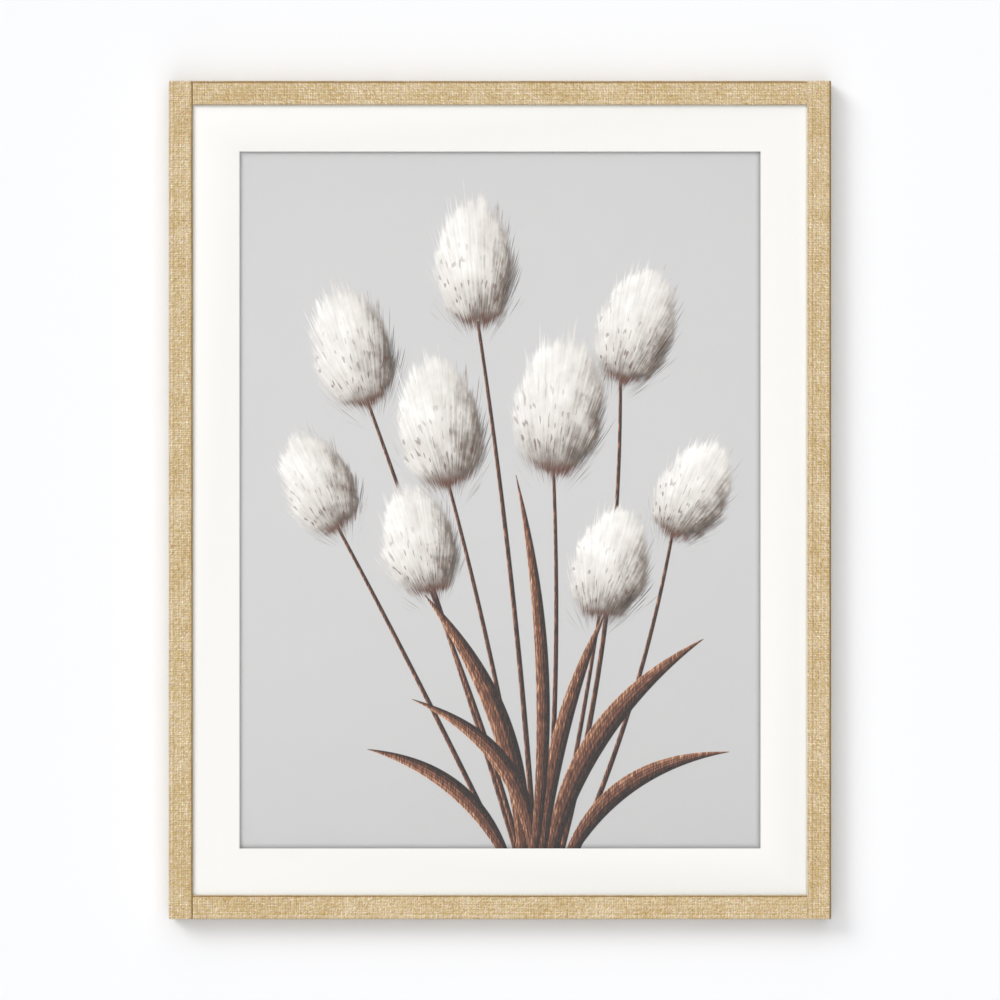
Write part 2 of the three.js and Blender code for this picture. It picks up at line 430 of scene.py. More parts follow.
@dataclass
class Effects:
    """The shader groups that the finishes share, each built once.

    Args:
        crown_swing: how much of a thread's height the roundness of the crossing one gives it.
        crown_least: how much of it the thread keeps without that.
        gap: how far from a thread's middle the gap beside it starts, and where it is full.
        tone_step: how far the noise of the tones moves on from thread to thread, and tone_run
            from crossing to crossing.
        weft_apart: sets the tones of the two ways of threads apart.
        fibres: how many times finer the fibres are across a thread than along it.
        row_step: how far the noise of the open rows moves on from row to row, and row_run
            from gap to gap.
        chance_open: the part of the chances in which a gap opens anywhere.
        matting: how the noise of a board's fibres is squeezed along X, Y and Z.
        matting_apart: an offset that keeps the fibres of its two ways from matching.
        ring_rates: how fast the year rings follow each other along X, Y and Z.
        ring_bend: how far a noise bends them.
        drawn: how the noise of a metal's lines is squeezed along X, Y and Z.

    The others are scales of noises, and the ranges of them in which what they make shows.
    """

    crown_swing: float = 0.6
    crown_least: float = 0.4
    gap: tuple[float, float] = (0.08, 0.42)
    tone_step: float = 7.3
    tone_run: float = 0.09
    weft_apart: float = 9.0
    fibres: float = 7.0
    fibre_scale: float = 1.1
    row_run: float = 0.07
    row_step: float = 5.3
    row_open: tuple[float, float] = (0.54, 0.66)
    chance_open: tuple[float, float] = (0.30, 1.0)
    matting: tuple[float, float, float] = (0.23, 1.0, 1.9)
    matting_apart: tuple[float, float, float] = (31.0, 7.0, 3.0)
    board_cloud: float = 0.045
    ring_rates: tuple[float, float, float] = (900.0, 500.0, 900.0)
    ring_bend_scale: float = 55.0
    ring_bend: float = 9.0
    pores: float = 2600.0
    flecks: float = 700.0
    fleck_range: tuple[float, float] = (0.66, 0.74)
    bloom: float = 420.0
    drawn: tuple[float, float, float] = (0.08, 1.0, 1.0)
    lines: float = 6500.0
    specks: float = 2200.0
    speck_range: tuple[float, float] = (0.68, 0.74)

    def __post_init__(self) -> None:
        """Builds them all."""
        self.weave = self._weave()
        self.fibre = self._fibre()
        self.grain = self._grain()
        self.wear = self._wear()

    def _weave(self) -> Tree:
        """Plain weave, from a position counted in threads.

        Returns:
            A group that gives the threads' height, each thread's tone, the fibres in it, each
            crossing's own tone, and the holes that are left between the threads.
        """
        group = Group("Plain weave", {"Threads": Group.VECTOR}, ["Height", "Tone", "Fibre", "Knot", "Hole"])
        w = group.wiring
        across, along, _ = w.parts(group.given["Threads"])
        warp, weft = (w.math("FLOOR", value) for value in (across, along))
        warp_round, weft_round = (
            w.math("SINE", w.times(w.math("FRACT", value), math.pi)) for value in (across, along)
        )

        def odd(first: Socket, second: Socket) -> Socket:
            """1 where the sum of two whole numbers is odd, and 0 elsewhere."""
            return w.math("FLOORED_MODULO", w.math("ADD", first, second), 2.0)

        def crown(own: Socket, other: Socket) -> Socket:
            """A thread's height where it lies on top."""
            return w.times(own, w.math("MULTIPLY_ADD", other, self.crown_swing, self.crown_least))

        def hole_side(value: Socket) -> Socket:
            """How near a place is to the gap between two threads, from 0 to 1."""
            away = w.math("ABSOLUTE", w.math("SUBTRACT", w.math("FRACT", value), 0.5))
            return w.spread(away, *self.gap, smooth=True)

        def tone(x: Socket, y: Socket, apart: float) -> Socket:
            """A thread's tone, from the thread's number and the place along it."""
            return w.noise(w.joined(x, y, apart), scale=1.0, detail=1.0)

        def fibre(x: Socket, y: Socket) -> Socket:
            """The fibres of a thread."""
            return w.noise(w.joined(x, y), self.fibre_scale, detail=2.0, rough=0.6, flat=True)

        over = odd(warp, weft)
        height = w.between(over, crown(warp_round, weft_round), crown(weft_round, warp_round))
        warp_tone = tone(w.times(warp, self.tone_step), w.times(along, self.tone_run), 0.0)
        weft_tone = tone(w.times(across, self.tone_run), w.times(weft, self.tone_step), self.weft_apart)
        warp_fibre = fibre(w.times(across, self.fibres), along)
        weft_fibre = fibre(across, w.times(along, self.fibres))
        corner_x, corner_y = (w.math("ROUND", value) for value in (across, along))
        rows = w.joined(w.times(corner_x, self.row_run), w.times(corner_y, self.row_step))
        open_row = w.spread(w.noise(rows, scale=1.0, detail=1.0, flat=True), *self.row_open)
        row_hole = w.times(open_row, w.math("LESS_THAN", odd(corner_x, corner_y), 0.5))
        chance_hole = w.spread(w.chance(w.joined(corner_x, corner_y)), *self.chance_open)
        hole = w.times(w.times(hole_side(across), hole_side(along)),
                       w.math("MAXIMUM", row_hole, chance_hole))
        return group.giving(Height=height, Tone=w.between(over, warp_tone, weft_tone),
                            Fibre=w.between(over, warp_fibre, weft_fibre),
                            Knot=w.chance(w.joined(warp, weft)), Hole=hole)

    def _fibre(self) -> Tree:
        """Paper and board: matted fibres with a soft cloudiness.

        Returns:
            A group that gives the fibres' height and the board's tone.
        """
        group = Group("Matted fibre", {"Position": Group.VECTOR, "Scale": Group.FLOAT}, ["Height", "Tone"])
        w = group.wiring
        place = w.vector("MULTIPLY", group.given["Position"], w.joined(*[group.given["Scale"]] * 3))
        level = w.vector("ADD", w.vector("MULTIPLY", place, self.matting), self.matting_apart)
        upright = w.vector("MULTIPLY", place, self.matting[::-1])
        fibres = [w.noise(way, scale=1.0, detail=3.0, rough=0.6) for way in (upright, level)]
        cloud = w.noise(place, self.board_cloud, detail=3.0, rough=0.55)
        return group.giving(Height=w.math("MAXIMUM", *fibres), Tone=cloud)

    def _grain(self) -> Tree:
        """Straight-grained wood, from a position squeezed along the grain.

        Returns:
            A group that gives the year rings' tone, the fine pores and dark flecks.
        """
        group = Group("Straight grain", {"Position": Group.VECTOR}, ["Rings", "Pores", "Flecks"])
        w = group.wiring
        place = group.given["Position"]
        bend = w.noise(place, self.ring_bend_scale)
        sweep = w.total(*zip(w.parts(place), self.ring_rates), (bend, self.ring_bend))
        return group.giving(
            Rings=w.math("MULTIPLY_ADD", w.math("SINE", sweep), 0.5, 0.5),
            Pores=w.noise(place, self.pores, rough=0.6),
            Flecks=w.spread(w.noise(place, self.flecks, detail=1.0), *self.fleck_range),
        )

    def _wear(self) -> Tree:
        """Handled metal or rubber: cloudy bloom, fine drawn lines and specks.

        Returns:
            A group that gives the cloud, the lines and the specks.
        """
        group = Group("Handling wear", {"Position": Group.VECTOR}, ["Cloud", "Lines", "Specks"])
        w = group.wiring
        place = group.given["Position"]
        return group.giving(
            Cloud=w.noise(place, self.bloom, detail=3.0, rough=0.6),
            Lines=w.noise(w.vector("MULTIPLY", place, self.drawn), self.lines, rough=0.6),
            Specks=w.spread(w.noise(place, self.specks, detail=1.0), *self.speck_range),
        )


# ---- finishes


@dataclass(frozen=True)
class Finish:
    """A material that is built from named values."""

    name: str
    roughness: float = 0.8

    def material(self, effects: Effects) -> bpy.types.Material:
        """Builds the material.

        Args:
            effects: the shared groups.

        Returns:
            The material.
        """
        made = bpy.data.materials.new(self.name)
        made.use_nodes = True
        made.node_tree.nodes.clear()
        wiring = Wiring(made.node_tree)
        shader = wiring.add("ShaderNodeBsdfPrincipled")
        shader.inputs["Roughness"].default_value = self.roughness
        output = wiring.add("ShaderNodeOutputMaterial")
        wiring.feed(output.inputs["Surface"], shader.outputs[0])
        self.dress(wiring, shader.inputs, effects)
        return made

    def dress(self, w: Wiring, shader: bpy.types.NodeInputs, effects: Effects) -> None:
        """Feeds the shader; each finish has its own way.

        Args:
            w: the material's wiring.
            shader: the Principled shader's inputs.
            effects: the shared groups.
        """
        raise NotImplementedError

    @staticmethod
    def position(w: Wiring) -> Socket:
        """The place on the object, in metres."""
        return w.add("ShaderNodeTexCoord").outputs["Object"]


@dataclass(frozen=True)
class LinenFinish(Finish):
    """Coarse undyed linen, whose threads follow the cloth's own UV map."""

    gap: Colour = srgb(122, 86, 34)
    shade: Colour = srgb(180, 146, 88)
    thread: Colour = srgb(221, 198, 157)
    crown: Colour = srgb(246, 229, 196)
    mark_brown: Colour = srgb(120, 88, 38)
    ochre: Colour = (0.887, 0.833, 0.709)
    bleached: Colour = (1.127, 1.200, 1.410)
    rosy: Colour = (1.05, 0.98, 1.0)
    green: Colour = (0.95, 1.02, 1.0)
    yellow: Colour = (1.0, 1.0, 0.80)
    pale: Colour = (1.0, 1.0, 1.14)
    relief: float = 0.22 * MM
    tone_weights: tuple[tuple[str, float], ...] = (("Tone", 0.22), ("Fibre", 0.50), ("Knot", 0.44))
    slub_weight: float = 0.10
    tone_range: tuple[float, float] = (0.10, 1.10)
    hollow_shade_least: float = 0.45
    hole_darkness: float = 0.95
    mottle_scale: float = 0.42
    mottle: float = 2.3
    drift_scale: float = 0.055
    drift: float = 1.1
    thread_bleach: float = 1.1
    faint_mark: float = -1.9
    bleach_base: float = -1.75
    strong_mark: tuple[float, float] = (0.42, 0.52)
    break_scale: float = 0.9
    break_range: tuple[float, float] = (0.32, 0.62)
    broken: tuple[float, float] = (0.25, 1.3)
    tint_scale: float = 0.36
    tint_range: tuple[float, float] = (0.2, 0.8)
    tint_seeds: tuple[float, float] = (17.0, 53.0)
    fibre_relief: float = 0.35
    bump: float = 0.8
    sheen: float = 0.12
    sheen_roughness: float = 0.5

    def dress(self, w: Wiring, shader: bpy.types.NodeInputs, effects: Effects) -> None:
        """Colours the threads and gives them their fibres.

        Args:
            w: the material's wiring.
            shader: the Principled shader's inputs.
            effects: the shared groups.
        """
        threads = w.add("ShaderNodeUVMap", uv_map=Cloth.UV).outputs[0]
        weave = w.use(effects.weave, Threads=threads).outputs
        slub = w.add("ShaderNodeAttribute", attribute_name=Cloth.SLUB).outputs["Fac"]
        mark = w.add("ShaderNodeAttribute", attribute_name=Cloth.MARK).outputs["Fac"]
        tone = w.total(*((weave[name], weight) for name, weight in self.tone_weights),
                       (slub, self.slub_weight))
        stops = ((0.0, self.shade), (0.5, self.thread), (1.0, self.crown))
        thread = w.ramp(w.spread(tone, *self.tone_range), stops)
        # Painted shade: the threads grow darker down into the hollows between them, and the open holes take
        # the same dark gap colour.
        depth = w.spread(weave["Height"], 0.0, 0.5, (self.hollow_shade_least, 1.0), smooth=True)
        colour = w.mix(depth, self.gap, thread)
        colour = w.mix(w.times(weave["Hole"], self.hole_darkness), colour, self.gap)

        # A faint mark only bleaches or yellows the threads, and is broken along its way.
        breaks = w.noise(threads, self.break_scale, rough=0.6, flat=True)
        strong = w.spread(w.math("ABSOLUTE", mark), *self.strong_mark)
        faint = w.times(w.times(mark, w.math("SUBTRACT", 1.0, strong)),
                        w.spread(breaks, *self.break_range, self.broken))
        mottle = w.noise(threads, self.mottle_scale, detail=3.0, rough=0.62, flat=True)
        drift = w.noise(threads, self.drift_scale, flat=True)
        bleach = w.total((mottle, self.mottle), (drift, self.drift), (weave["Tone"], self.thread_bleach),
                         (faint, self.faint_mark), base=self.bleach_base)
        colour = w.vector("MULTIPLY", colour, w.choose(bleach, self.ochre, self.bleached))
        tints = ((self.rosy, self.green), (self.yellow, self.pale))
        for seed, (first, second) in zip(self.tint_seeds, tints):
            patch = w.noise(w.vector("ADD", threads, (seed, seed, 0.0)), self.tint_scale,
                            rough=0.6, flat=True)
            tint = w.choose(w.spread(patch, *self.tint_range), first, second)
            colour = w.vector("MULTIPLY", colour, tint)

        # A strong mark turns the threads dark brown, or bares their pale crowns where it is below 0.
        marked = w.times(mark, strong)
        colour = w.mix(marked, colour, self.mark_brown)
        colour = w.mix(w.times(marked, -1.0), colour, self.crown)
        w.feed(shader["Base Color"], colour)
        height = w.math("MULTIPLY_ADD", weave["Fibre"], self.fibre_relief, weave["Height"])
        w.feed(shader["Normal"], w.bump(height, self.relief, self.bump))
        shader["Sheen Weight"].default_value = self.sheen
        shader["Sheen Roughness"].default_value = self.sheen_roughness


@dataclass(frozen=True)
class WoodFinish(Finish):
    """Unfinished wood with straight grain."""

    grain: Grain = Grain.UPRIGHT
    early: Colour = srgb(222, 194, 146)
    late: Colour = srgb(190, 148, 94)
    fleck: Colour = srgb(142, 102, 60)
    ring_weight: float = 0.55
    pore_weight: float = 0.3
    cloud_weight: float = 0.35
    cloud_scale: float = 90.0
    tone_range: tuple[float, float] = (0.2, 1.0)
    fleck_strength: float = 0.5
    relief: float = 0.12 * MM
    bump: float = 0.7

    def dress(self, w: Wiring, shader: bpy.types.NodeInputs, effects: Effects) -> None:
        """Lays the grain along the timber.

        Args:
            w: the material's wiring.
            shader: the Principled shader's inputs.
            effects: the shared groups.
        """
        place = w.vector("MULTIPLY", self.position(w), self.grain.value)
        grain = w.use(effects.grain, Position=place).outputs
        tone = w.total((grain["Rings"], self.ring_weight), (grain["Pores"], self.pore_weight),
                       (w.noise(place, self.cloud_scale), self.cloud_weight))
        colour = w.ramp(w.spread(tone, *self.tone_range), ((0.0, self.early), (1.0, self.late)))
        colour = w.mix(w.times(grain["Flecks"], self.fleck_strength), colour, self.fleck)
        w.feed(shader["Base Color"], colour)
        w.feed(shader["Normal"], w.bump(grain["Pores"], self.relief, self.bump))


@dataclass(frozen=True)
class BoardFinish(Finish):
    """Paper, card or pressed fibre."""

    colour: Colour = (0.8, 0.8, 0.8)
    fleck: Colour = (0.7, 0.7, 0.7)
    scale: float = 1500.0
    contrast: float = 0.2
    cloudiness: float = 0.1
    relief: float = 0.03 * MM
    fine_range: tuple[float, float] = (0.42, 0.78)
    broad_range: tuple[float, float] = (0.3, 0.7)
    bump: float = 0.6

    def dress(self, w: Wiring, shader: bpy.types.NodeInputs, effects: Effects) -> None:
        """Spreads the fibres over the board.

        Args:
            w: the material's wiring.
            shader: the Principled shader's inputs.
            effects: the shared groups.
        """
        fibre = w.use(effects.fibre, Position=self.position(w), Scale=self.scale).outputs
        fine = w.spread(fibre["Height"], *self.fine_range, (0.0, self.contrast))
        broad = w.spread(fibre["Tone"], *self.broad_range, (0.0, self.cloudiness))
        w.feed(shader["Base Color"], w.mix(w.math("ADD", fine, broad), self.colour, self.fleck))
        w.feed(shader["Normal"], w.bump(fibre["Height"], self.relief, self.bump))


@dataclass(frozen=True)
class GlassFinish(Finish):
    """A thin clear pane: light goes straight through, and the rest mirrors off it."""

    roughness: float = 0.02
    index: float = 1.28

    def dress(self, w: Wiring, shader: bpy.types.NodeInputs, effects: Effects) -> None:
        """Lets through all that the pane doesn't mirror.

        Args:
            w: the material's wiring.
            shader: the Principled shader's inputs.
            effects: the shared groups.
        """
        shader["Base Color"].default_value = (1.0, 1.0, 1.0, 1.0)
        shader["Metallic"].default_value = 1.0
        mirrored = w.add("ShaderNodeFresnel")
        mirrored.inputs["IOR"].default_value = self.index
        leaving = w.add("ShaderNodeNewGeometry").outputs["Backfacing"]
        share = w.times(mirrored.outputs[0], w.math("SUBTRACT", 1.0, leaving))
        w.feed(shader["Alpha"], share)


@dataclass(frozen=True)
class MetalFinish(Finish):
    """Plated or plain steel that has been handled."""

    roughness: float = 0.38
    colour: Colour = (0.6, 0.6, 0.6)
    dull: Colour = (0.4, 0.4, 0.4)
    bloom_range: tuple[float, float] = (0.35, 0.7)
    speck_strength: float = 0.8
    bloom_roughness: float = 0.22
    line_roughness: float = 0.2
    polish: float = 0.1
    relief: float = 0.02 * MM
    bump: float = 0.5

    def dress(self, w: Wiring, shader: bpy.types.NodeInputs, effects: Effects) -> None:
        """Clouds the metal and draws its fine lines.

        Args:
            w: the material's wiring.
            shader: the Principled shader's inputs.
            effects: the shared groups.
        """
        wear = w.use(effects.wear, Position=self.position(w)).outputs
        bloom = w.math("MAXIMUM", w.spread(wear["Cloud"], *self.bloom_range),
                       w.times(wear["Specks"], self.speck_strength))
        w.feed(shader["Base Color"], w.mix(bloom, self.colour, self.dull))
        shader["Metallic"].default_value = 1.0
        rough = w.total((bloom, self.bloom_roughness), (wear["Lines"], self.line_roughness),
                        base=self.roughness - self.polish)
        w.feed(shader["Roughness"], rough)
        w.feed(shader["Normal"], w.bump(wear["Lines"], self.relief, self.bump))


@dataclass(frozen=True)
class RubberFinish(Finish):
    """Soft dark rubber with a dusty bloom."""

    roughness: float = 0.72
    colour: Colour = srgb(58, 57, 55)
    bloom: Colour = srgb(96, 94, 90)
    bloom_range: tuple[float, float] = (0.4, 0.75)
    bloom_strength: float = 0.7
    relief: float = 0.05 * MM
    bump: float = 0.5

    def dress(self, w: Wiring, shader: bpy.types.NodeInputs, effects: Effects) -> None:
        """Dusts the rubber.

        Args:
            w: the material's wiring.
            shader: the Principled shader's inputs.
            effects: the shared groups.
        """
        wear = w.use(effects.wear, Position=self.position(w)).outputs
        dusty = w.times(w.spread(wear["Cloud"], *self.bloom_range), self.bloom_strength)
        w.feed(shader["Base Color"], w.mix(dusty, self.colour, self.bloom))
        w.feed(shader["Normal"], w.bump(wear["Cloud"], self.relief, self.bump))


# ---- the printed design


@dataclass(frozen=True)
class Head:
    """A fluffy grass head. Places and sizes are in millimetres from the sheet's middle."""

    x: float
    z: float
    turn: float
    width: float
    height: float


@dataclass(frozen=True)
class Blade:
    """A stem or a leaf: it rises from its root, bends and tapers, and a leaf swells between."""

    x: float
    z: float
    turn: float
    length: float
    bend: float
    root: float
    tip: float
    swell: float = 0.0


@dataclass(frozen=True)
class BladeLook:
    """How stems or leaves are shaded: what each feature adds to the tone, and the tones' colours."""

    across: float
    along: float
    stops: tuple[tuple[float, Colour], ...]
    rib: float = 0.0
    rib_width: float = 0.16
    veins: float = 0.0
    vein_rate: float = 17.0
    bark: float = 1.3
    base: float = -0.50

    def tone(self, w: Wiring, own: bpy.types.NodeOutputs, bark: Socket) -> Socket:
        """Wires the tone.

        Args:
            w: the material's wiring.
            own: the outputs of the blade's node.
            bark: the fine streaks.

        Returns:
            The tone, where 0 is the darkest and 1 the lightest.
        """
        terms = [(own["Across"], self.across), (bark, self.bark), (own["Along"], self.along)]
        if self.rib:
            rib = w.spread(w.math("ABSOLUTE", own["Across"]), 0.0, self.rib_width, (1.0, 0.0))
            terms.append((rib, self.rib))
        if self.veins:
            terms.append((w.math("SINE", w.times(own["Across"], self.vein_rate)), self.veins))
        return w.total(*terms, base=self.base)


@dataclass(frozen=True)
class HeadLook:
    """How a fluffy head is drawn, with lengths in its own half sizes.

    Args:
        root: how far below its middle the hairs spring from.
        hairs: how fast their noise changes round that root, and along them; awns and dots, which
            are the seeds, have the same.
        edge: where it ends, and how far tufts and hairs carry that.
        wisps: how far out the thin wisps reach, and how the distance thins them.
        light: what across, up, its bulge, tufts, hairs and awns add to its light.
        dark: its light without them.
        dot_rise: the heights between which the seeds grow fewer.
        cup: how the brown cup at its foot fades upwards, with the hairs, and where it ends.
    """

    root: float = 1.35
    hairs: tuple[float, float] = (26.0, 1.5)
    awns: tuple[float, float] = (60.0, 1.1)
    dots: tuple[float, float] = (21.0, 6.0)
    tufts: float = 2.6
    edge: tuple[float, float, float] = (0.60, 0.30, 0.34)
    edge_range: tuple[float, float] = (-0.05, 0.10)
    wisps: tuple[float, float] = (0.24, -0.78)
    wisp_range: tuple[float, float] = (0.0, 0.16)
    wisp_cover: float = 0.72
    light: tuple[float, ...] = (-0.36, 0.32, 0.40, 0.72, 0.62, 0.24)
    dark: float = -0.53
    dot_range: tuple[float, float] = (0.66, 0.72)
    dot_rise: tuple[float, float] = (-0.95, 0.55)
    cup: tuple[float, float, float] = (-2.6, 1.6, -2.55)
    cup_range: tuple[float, float] = (0.0, 0.5)

    def group(self) -> Tree:
        """Builds the look's group, which takes a place in the head's half sizes and a seed.

        Returns:
            A group that gives how much it covers, how light it is and its brown seeds.
        """
        group = Group("Head look", {"Place": Group.VECTOR}, ["Cover", "Light", "Seeds"])
        w = group.wiring
        across, up, seed = w.parts(group.given["Place"])
        reach = w.vector("LENGTH", w.joined(across, up))
        rise = w.math("ADD", up, self.root)
        fan = w.math("ARCTAN2", across, rise)
        out = w.vector("LENGTH", w.joined(across, rise))

        def fanned(rates: tuple[float, float], detail: float, rough: float = 0.5) -> Socket:
            """A noise that is drawn out from the root, as the hairs are."""
            around = w.math("MULTIPLY_ADD", fan, rates[0], seed)
            return w.noise(w.joined(around, w.times(out, rates[1]), seed), 1.0, detail, rough)

        hair = fanned(self.hairs, detail=3.0, rough=0.62)
        awn = fanned(self.awns, detail=1.0)
        tuft = w.noise(w.joined(across, up, seed), self.tufts, detail=3.0, rough=0.6)
        edge, by_tuft, by_hair = self.edge
        inside = w.math("SUBTRACT", w.total((tuft, by_tuft), (hair, by_hair), base=edge), reach)
        body = w.spread(inside, *self.edge_range, smooth=True)
        wisp, by_reach = self.wisps
        thin = w.total((awn, 1.0), (reach, by_reach), base=wisp)
        wisps = w.spread(thin, *self.wisp_range, (0.0, self.wisp_cover), smooth=True)
        inner = w.math("MAXIMUM", w.math("SUBTRACT", 1.0, w.math("POWER", reach, 2.0)), 0.0)
        bulge = w.math("SQRT", inner)
        lit = w.total(*zip((across, up, bulge, tuft, hair, awn), self.light), base=self.dark)
        dots = w.spread(fanned(self.dots, detail=0.0), *self.dot_range, smooth=True)
        dots = w.times(dots, w.spread(up, *self.dot_rise, (1.0, 0.0)))
        by_height, by_hair, base = self.cup
        cup = w.spread(w.total((up, by_height), (hair, by_hair), base=base), *self.cup_range, smooth=True)
        return group.giving(Cover=w.math("MAXIMUM", body, wisps), Light=w.spread(lit, 0.0, 1.0),
                            Seeds=w.times(w.math("MAXIMUM", dots, cup), body))


@dataclass(frozen=True)
class DesignFinish(Finish):
    """Matt art paper printed with a spray of dried grass heads on a grey ground.

    The design's places and sizes are in millimetres from the sheet's middle.

    Args:
        centre: the sheet's middle, in metres.
        relief: the height of the paper's fibres, in metres.
        gather: where the stems meet.
        painted_shade_reach: how far a soft grey band of painted shade reaches in from the window's right
            side and foot.
        painted_shade_depth: how dark that painted shade is.
        foot: how far below a head's middle its stem ends, as a share of its height.
        pear: how much narrower a head grows upwards.
        near: how far from a head's middle its fluff may reach, in its half sizes.
        nowhere: a place that lies on no head.
    """

    centre: tuple[float, float] = (0.0, 0.0)
    roughness: float = 0.62
    ground_light: Colour = srgb(206, 205, 205)
    ground_deep: Colour = srgb(194, 194, 194)
    gather: tuple[float, float] = (34.0, -372.0)
    window_right: float = 225.25
    window_foot: float = -301.75
    painted_shade_reach: float = 4.5
    painted_shade_depth: float = 0.28
    foot: float = 0.42
    stem_root: float = 2.9
    stem_tip: float = 1.5
    pear: float = 0.16
    near: float = 1.5
    nowhere: tuple[float, float, float] = (9.0, 9.0, 0.0)
    layer_seeds: tuple[float, float] = (3.0, 71.0)
    head_seed: float = 11.0
    blade_edge: tuple[float, float] = (-0.25, 0.45)
    bark_run: tuple[float, float, float] = (0.9, 0.12, 1.0)
    shade_across: float = 0.00062
    shade_twist: float = -0.9e-6
    shade_up: float = -0.00076
    shade_curve: float = 4.8e-6
    cloud_scale: float = 0.006
    cloud: float = 0.20
    seed_colour: Colour = srgb(92, 50, 32)
    seed_strength: float = 0.92
    paper_fleck: Colour = srgb(150, 149, 147)
    paper_scale: float = 1900.0
    paper_range: tuple[float, float] = (0.42, 0.78)
    paper_contrast: float = 0.035
    relief: float = 0.01 * MM
    bump: float = 0.4
    head_look: HeadLook = HeadLook()
    fluff: tuple[tuple[float, Colour], ...] = (
        (0.0, srgb(52, 42, 36)), (0.22, srgb(124, 113, 104)),
        (0.50, srgb(211, 206, 200)), (1.0, srgb(253, 251, 247)),
    )
    stem_look: BladeLook = BladeLook(
        across=-0.50, along=0.12,
        stops=((0.0, srgb(20, 9, 7)), (0.48, srgb(96, 54, 38)), (1.0, srgb(214, 158, 124))),
    )
    leaf_look: BladeLook = BladeLook(
        across=-0.52, along=0.24, rib=0.24, veins=0.10,
        stops=((0.0, srgb(22, 10, 7)), (0.5, srgb(106, 62, 43)), (0.78, srgb(168, 118, 88)),
               (1.0, srgb(232, 188, 152))),
    )
    heads_behind: tuple[Head, ...] = (
        Head(-128, 132, 16, 76, 118),
        Head(-22, 206, 3, 74, 122),
        Head(118, 150, -17, 72, 112),
        Head(-70, -36, 13, 70, 104),
        Head(168, 8, -27, 66, 98),
    )
    heads_before: tuple[Head, ...] = (
        Head(52, 82, -6, 84, 132),
        Head(-52, 66, 8, 80, 124),
        Head(96, -56, -13, 72, 108),
        Head(-158, 14, 25, 66, 100),
    )
    leaves: tuple[Blade, ...] = (
        Blade(20, -330, 19, 262, 26, 3.0, 0.5, 7.5),
        Blade(40, -330, -33, 250, -30, 3.0, 0.5, 8.0),
        Blade(30, -330, 34, 190, 34, 2.6, 0.4, 6.5),
        Blade(36, -320, -14, 230, -12, 2.6, 0.4, 5.5),
        Blade(26, -330, 2, 352, 17, 2.4, 0.4, 4.5),
        Blade(50, -330, -53, 186, -30, 2.6, 0.4, 6.5),
        Blade(12, -326, 49, 168, 24, 2.4, 0.4, 6.0),
    )

    def stems(self) -> list[Blade]:
        """The stems from where they gather to the foot of each head.

        Returns:
            One blade for each head.
        """
        made = []
        for head in (*self.heads_behind, *self.heads_before):
            turn, drop = math.radians(head.turn), self.foot * head.height
            across = head.x + math.sin(turn) * drop - self.gather[0]
            up = head.z - math.cos(turn) * drop - self.gather[1]
            chord = math.hypot(across, up)
            lean = math.degrees(math.atan2(-across, up))
            bend = math.tan(math.radians(lean - head.turn)) * chord / 4
            made.append(Blade(*self.gather, lean, chord, bend, self.stem_root, self.stem_tip))
        return made

    def _pick_group(self) -> Tree:
        """Finds whether a place is on a head, and where on it.

        Returns:
            A group that gives the place in the head's own half sizes, and how near it is.
        """
        group = Group("Head place", {"Position": Group.VECTOR, "Place": Group.VECTOR,
                                     "Turn": Group.VECTOR, "Half size": Group.VECTOR},
                      ["Across", "Up", "Near"])
        w = group.wiring
        node = w.add("ShaderNodeMapping", vector_type="TEXTURE")
        for name, source in (("Vector", "Position"), ("Location", "Place"),
                             ("Rotation", "Turn"), ("Scale", "Half size")):
            w.feed(node.inputs[name], group.given[source])
        across, up, _ = w.parts(node.outputs[0])
        across = w.times(across, w.math("MULTIPLY_ADD", up, self.pear, 1.0))
        reach = w.vector("LENGTH", w.joined(across, up))
        return group.giving(Across=across, Up=up, Near=w.math("LESS_THAN", reach, self.near))

    def _blade_group(self) -> Tree:
        """A bent, tapering stem or leaf.

        Returns:
            A group that gives its cover, the place across it from -1 to 1, and the place along it.
        """
        group = Group("Blade", {"Position": Group.VECTOR, "Place": Group.VECTOR, "Turn": Group.VECTOR,
                                "Length": Group.FLOAT, "Bend": Group.FLOAT, "Root": Group.FLOAT,
                                "Tip": Group.FLOAT, "Swell": Group.FLOAT},
                      ["Cover", "Across", "Along"])
        w = group.wiring
        node = w.add("ShaderNodeMapping", vector_type="TEXTURE")
        for name, source in (("Vector", "Position"), ("Location", "Place"), ("Rotation", "Turn")):
            w.feed(node.inputs[name], group.given[source])
        across, up, _ = w.parts(node.outputs[0])
        along = w.math("DIVIDE", up, group.given["Length"])
        hump = w.times(w.times(along, 4.0), w.math("SUBTRACT", 1.0, along))
        across = w.math("SUBTRACT", across, w.times(hump, group.given["Bend"]))
        width = w.between(along, group.given["Root"], group.given["Tip"])
        width = w.math("MULTIPLY_ADD", w.math("MAXIMUM", hump, 0.0), group.given["Swell"], width)
        within = w.math("SUBTRACT", width, w.math("ABSOLUTE", across))
        ends = w.times(w.math("GREATER_THAN", along, 0.0), w.math("LESS_THAN", along, 1.0))
        cover = w.times(w.spread(within, *self.blade_edge, smooth=True), ends)
        return group.giving(Cover=cover, Across=w.math("DIVIDE", across, width), Along=along)

